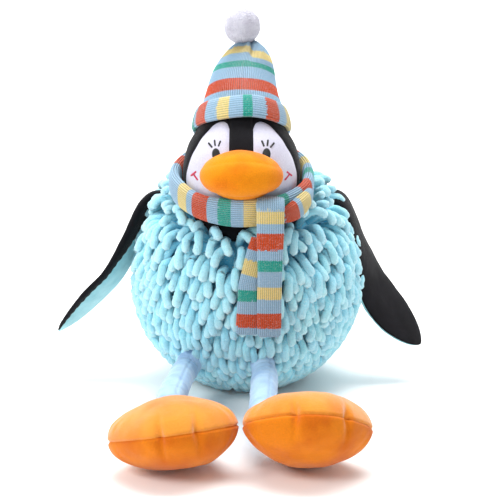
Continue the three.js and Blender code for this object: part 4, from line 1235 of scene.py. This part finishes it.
def build_feet(orange):
    """Padded feet. Each is pinched in at the toe edge by two stitches, which makes three toes."""
    rows, columns = 90, 260
    for name, side in SIDES:
        centre, turn = foot_place(name)
        stitches = FOOT[name][4]
        around = np.linspace(0, 2 * math.pi, columns, endpoint=False)
        # rows lie closer together near the seam
        rise = np.linspace(0.5 * math.pi, 0, rows)
        s, a = np.meshgrid(np.cos(rise), around, indexing="ij")
        height = np.broadcast_to(np.sin(rise)[:, None] ** 1.06, s.shape)
        # angle 0 points to the toes
        x, y = np.sin(a), -np.cos(a)
        toe = smoothstep(-y, -0.9, 0.5)
        off = np.arctan2(x, -y)
        lobes = np.where(np.abs(off) < 1.6, 1 + 0.04 * s * (np.cos(off * 3.9) - 0.4), 1)
        wide = FOOT_HALF[0] * (HEEL_WIDTH + (1 - HEEL_WIDTH) * toe) * lobes
        long = FOOT_HALF[1] * lobes
        groove = 1 - 0.03 * np.exp(-(height * FOOT_HALF[2] / 1.3) ** 2)
        px, py = x * wide * s * groove, y * long * s * groove
        at_toes = smoothstep(-y, 0.25, 0.75)
        dimple = sum(np.exp(-((px - c) / 3.0) ** 2) for c in stitches) * at_toes
        crease = sum(np.exp(-((px - c + 0.25 * (1 - s) * c) / 2.2) ** 2) for c in stitches) * at_toes
        shrink = 1 - 0.11 * dimple * np.exp(-(height / 0.3) ** 2)
        for panel, half, extra in (("upper", 1, [f"foot_stuffing_{name}", f"toe_stitch_{name}_1",
                                                 f"toe_stitch_{name}_2"]), ("sole", -1, [])):
            pz = FOOT_HALF[2] * height
            gather = 0.22 * np.sin(around * 31 + 3 * np.sin(3 * around))[None]
            gather = gather * np.exp(-((height - 0.2) / 0.15) ** 2)
            # the cloth is drawn into folds at the foot's two ends
            ends = smoothstep(np.abs(np.sin(around)), 0.75, 1)[None]
            folds = 0.9 * np.sin(around * 26 + side)[None] * ends * np.exp(-((height - 0.35) / 0.25) ** 2)
            deep = (3.4 if half < 0 else 2.0) * crease * np.exp(-((height - 0.28) / 0.26) ** 2)
            z = half * (pz + gather + folds - deep)
            points = np.stack([px * shrink, py * shrink, z], axis=-1).reshape(-1, 3)
            rounded = smoothstep(height.ravel(), 0, 0.3)
            points[:, 2] += half * 1.5 * smooth_noise(points + side * 60, 27, 14) * rounded
            world = points @ turn.T + centre
            world[:, 2] = np.maximum(world[:, 2], 0.4)
            mesh = new_mesh(f"foot_{panel}_{name}", world, grid_faces(rows, columns))
            # the upper takes the lit copy of the orange plush and the sole the shaded one: painted light
            # from above
            piece = add_piece(f"foot_{panel}_{name}_plush", mesh, orange[half < 0], f"foot_{name}",
                              [f"foot_{panel}_{name}", *extra])


# ------------------------------------------------------------------ stage

def build_stage():
    # a floor that curves up into a wall behind the toy
    far, curve, half = 1.6, 1.2, 6.0
    bend = np.linspace(0, math.pi / 2, 24)
    profile = [(-half, 0)] + [(far + curve * math.sin(b), curve * (1 - math.cos(b))) for b in bend]
    profile.append((far + curve, half))
    points = [(x, y, z) for y, z in profile for x in (-half, half)]
    faces = [(2 * k, 2 * k + 1, 2 * k + 3, 2 * k + 2) for k in range(len(profile) - 1)]
    mesh = bpy.data.meshes.new("floor")
    mesh.from_pydata(points, [], faces)
    mesh.polygons.foreach_set("use_smooth", np.ones(len(faces), bool))
    floor = bpy.data.objects.new("floor", mesh)
    bpy.context.scene.collection.objects.link(floor)
    mesh.materials.append(floor_material())

    world = bpy.data.worlds.new("studio")
    world.use_nodes = True
    world.node_tree.nodes["Background"].inputs["Color"].default_value = (0.98, 0.99, 1, 1)
    world.node_tree.nodes["Background"].inputs["Strength"].default_value = 0.52
    bpy.context.scene.world = world

    def area(name, place, target, size, power, colour=(1, 1, 1)):
        light = bpy.data.lights.new(name, "AREA")
        light.size = size
        light.energy = power
        light.color = colour
        obj = bpy.data.objects.new(name, light)
        obj.location = place
        obj.rotation_euler = (Vector(target) - Vector(place)).to_track_quat("-Z", "Y").to_euler()
        bpy.context.scene.collection.objects.link(obj)

    area("key", (-1.1, -1.0, 1.25), (0, 0, 0.18), 0.7, 17)
    area("top", (0.3, 0.1, 1.7), (0, 0, 0.1), 1.2, 9)
    area("wall_light", (0, 0.4, 2.4), (0, 2.6, 0.7), 1.8, 110)


def build_camera():
    data = bpy.data.cameras.new("camera")
    distance, elevation, aim = 1.1, math.radians(12), Vector((0.00315, 0, 0.140))
    data.sensor_width = 36
    data.lens = 75.4
    data.clip_start = 0.05
    camera = bpy.data.objects.new("camera", data)
    offset = Vector((0, -math.cos(elevation), math.sin(elevation))) * distance
    camera.location = aim + offset
    camera.rotation_euler = (-offset).to_track_quat("-Z", "Y").to_euler()
    bpy.context.scene.collection.objects.link(camera)
    bpy.context.scene.camera = camera
    bpy.context.scene.view_settings.view_transform = "Standard"


# ------------------------------------------------------------------ build everything

black = plush_material("black_plush", BLACK, srgb(15, 14, 18), sheen=0.1)
white = plush_material("white_plush", WHITE, srgb(204, 202, 219), pile=0.2, sheen=0.15)
orange = plush_material("beak_plush", srgb(236, 142, 10), srgb(224, 122, 6), pile=0.4, sheen=0.15)
# painted light: the feet's upper is a lighter, lit copy of the orange plush and the sole a darker, shaded
# copy, for light from above
foot_top_lit = plush_material("foot_top_plush", srgb(236, 150, 50), srgb(226, 130, 28), pile=0.5,
                          sheen=0.6, patch=34)
foot_sole_shaded = plush_material("foot_sole_plush", srgb(226, 126, 14), srgb(208, 104, 5), pile=0.45,
                           sheen=0.2, patch=30)
leg_blue = cloth_material("leg_cloth", SATIN_BLUE, srgb(150, 184, 220))
wing_blue = cloth_material("wing_cloth", WING_BLUE, srgb(140, 196, 204))
black_thread = thread_material("black_thread", srgb(22, 22, 24))
pink_thread = thread_material("pink_thread", srgb(216, 44, 88))

build_body(chenille_material())
build_neck(black)
build_scarf()
build_tail("scarf_tail_front", "front_scarf_tail", TAIL_FRONT, (12.3, 10.6),
           [(0.07, 0.125, KNIT_YELLOW), (0.265, 0.125, KNIT_ORANGE), (0.45, 0.08, KNIT_GREEN),
            (0.65, 0.095, KNIT_YELLOW), (0.865, 0.12, KNIT_ORANGE)])
build_tail("scarf_tail_rear", "rear_scarf_tail", TAIL_REAR, (8.5, 9.8),
           [(0.08, 0.14, KNIT_ORANGE), (0.33, 0.15, KNIT_YELLOW), (0.60, 0.10, KNIT_GREEN),
            (0.85, 0.13, KNIT_ORANGE)])
build_head(black, white)
build_beak(orange)
build_face(black_thread, pink_thread)
build_hat()
build_pompom(yarn_material())
build_wings(black, wing_blue)
build_legs(leg_blue)
build_feet((foot_top_lit, foot_sole_shaded))
build_stage()
build_camera()
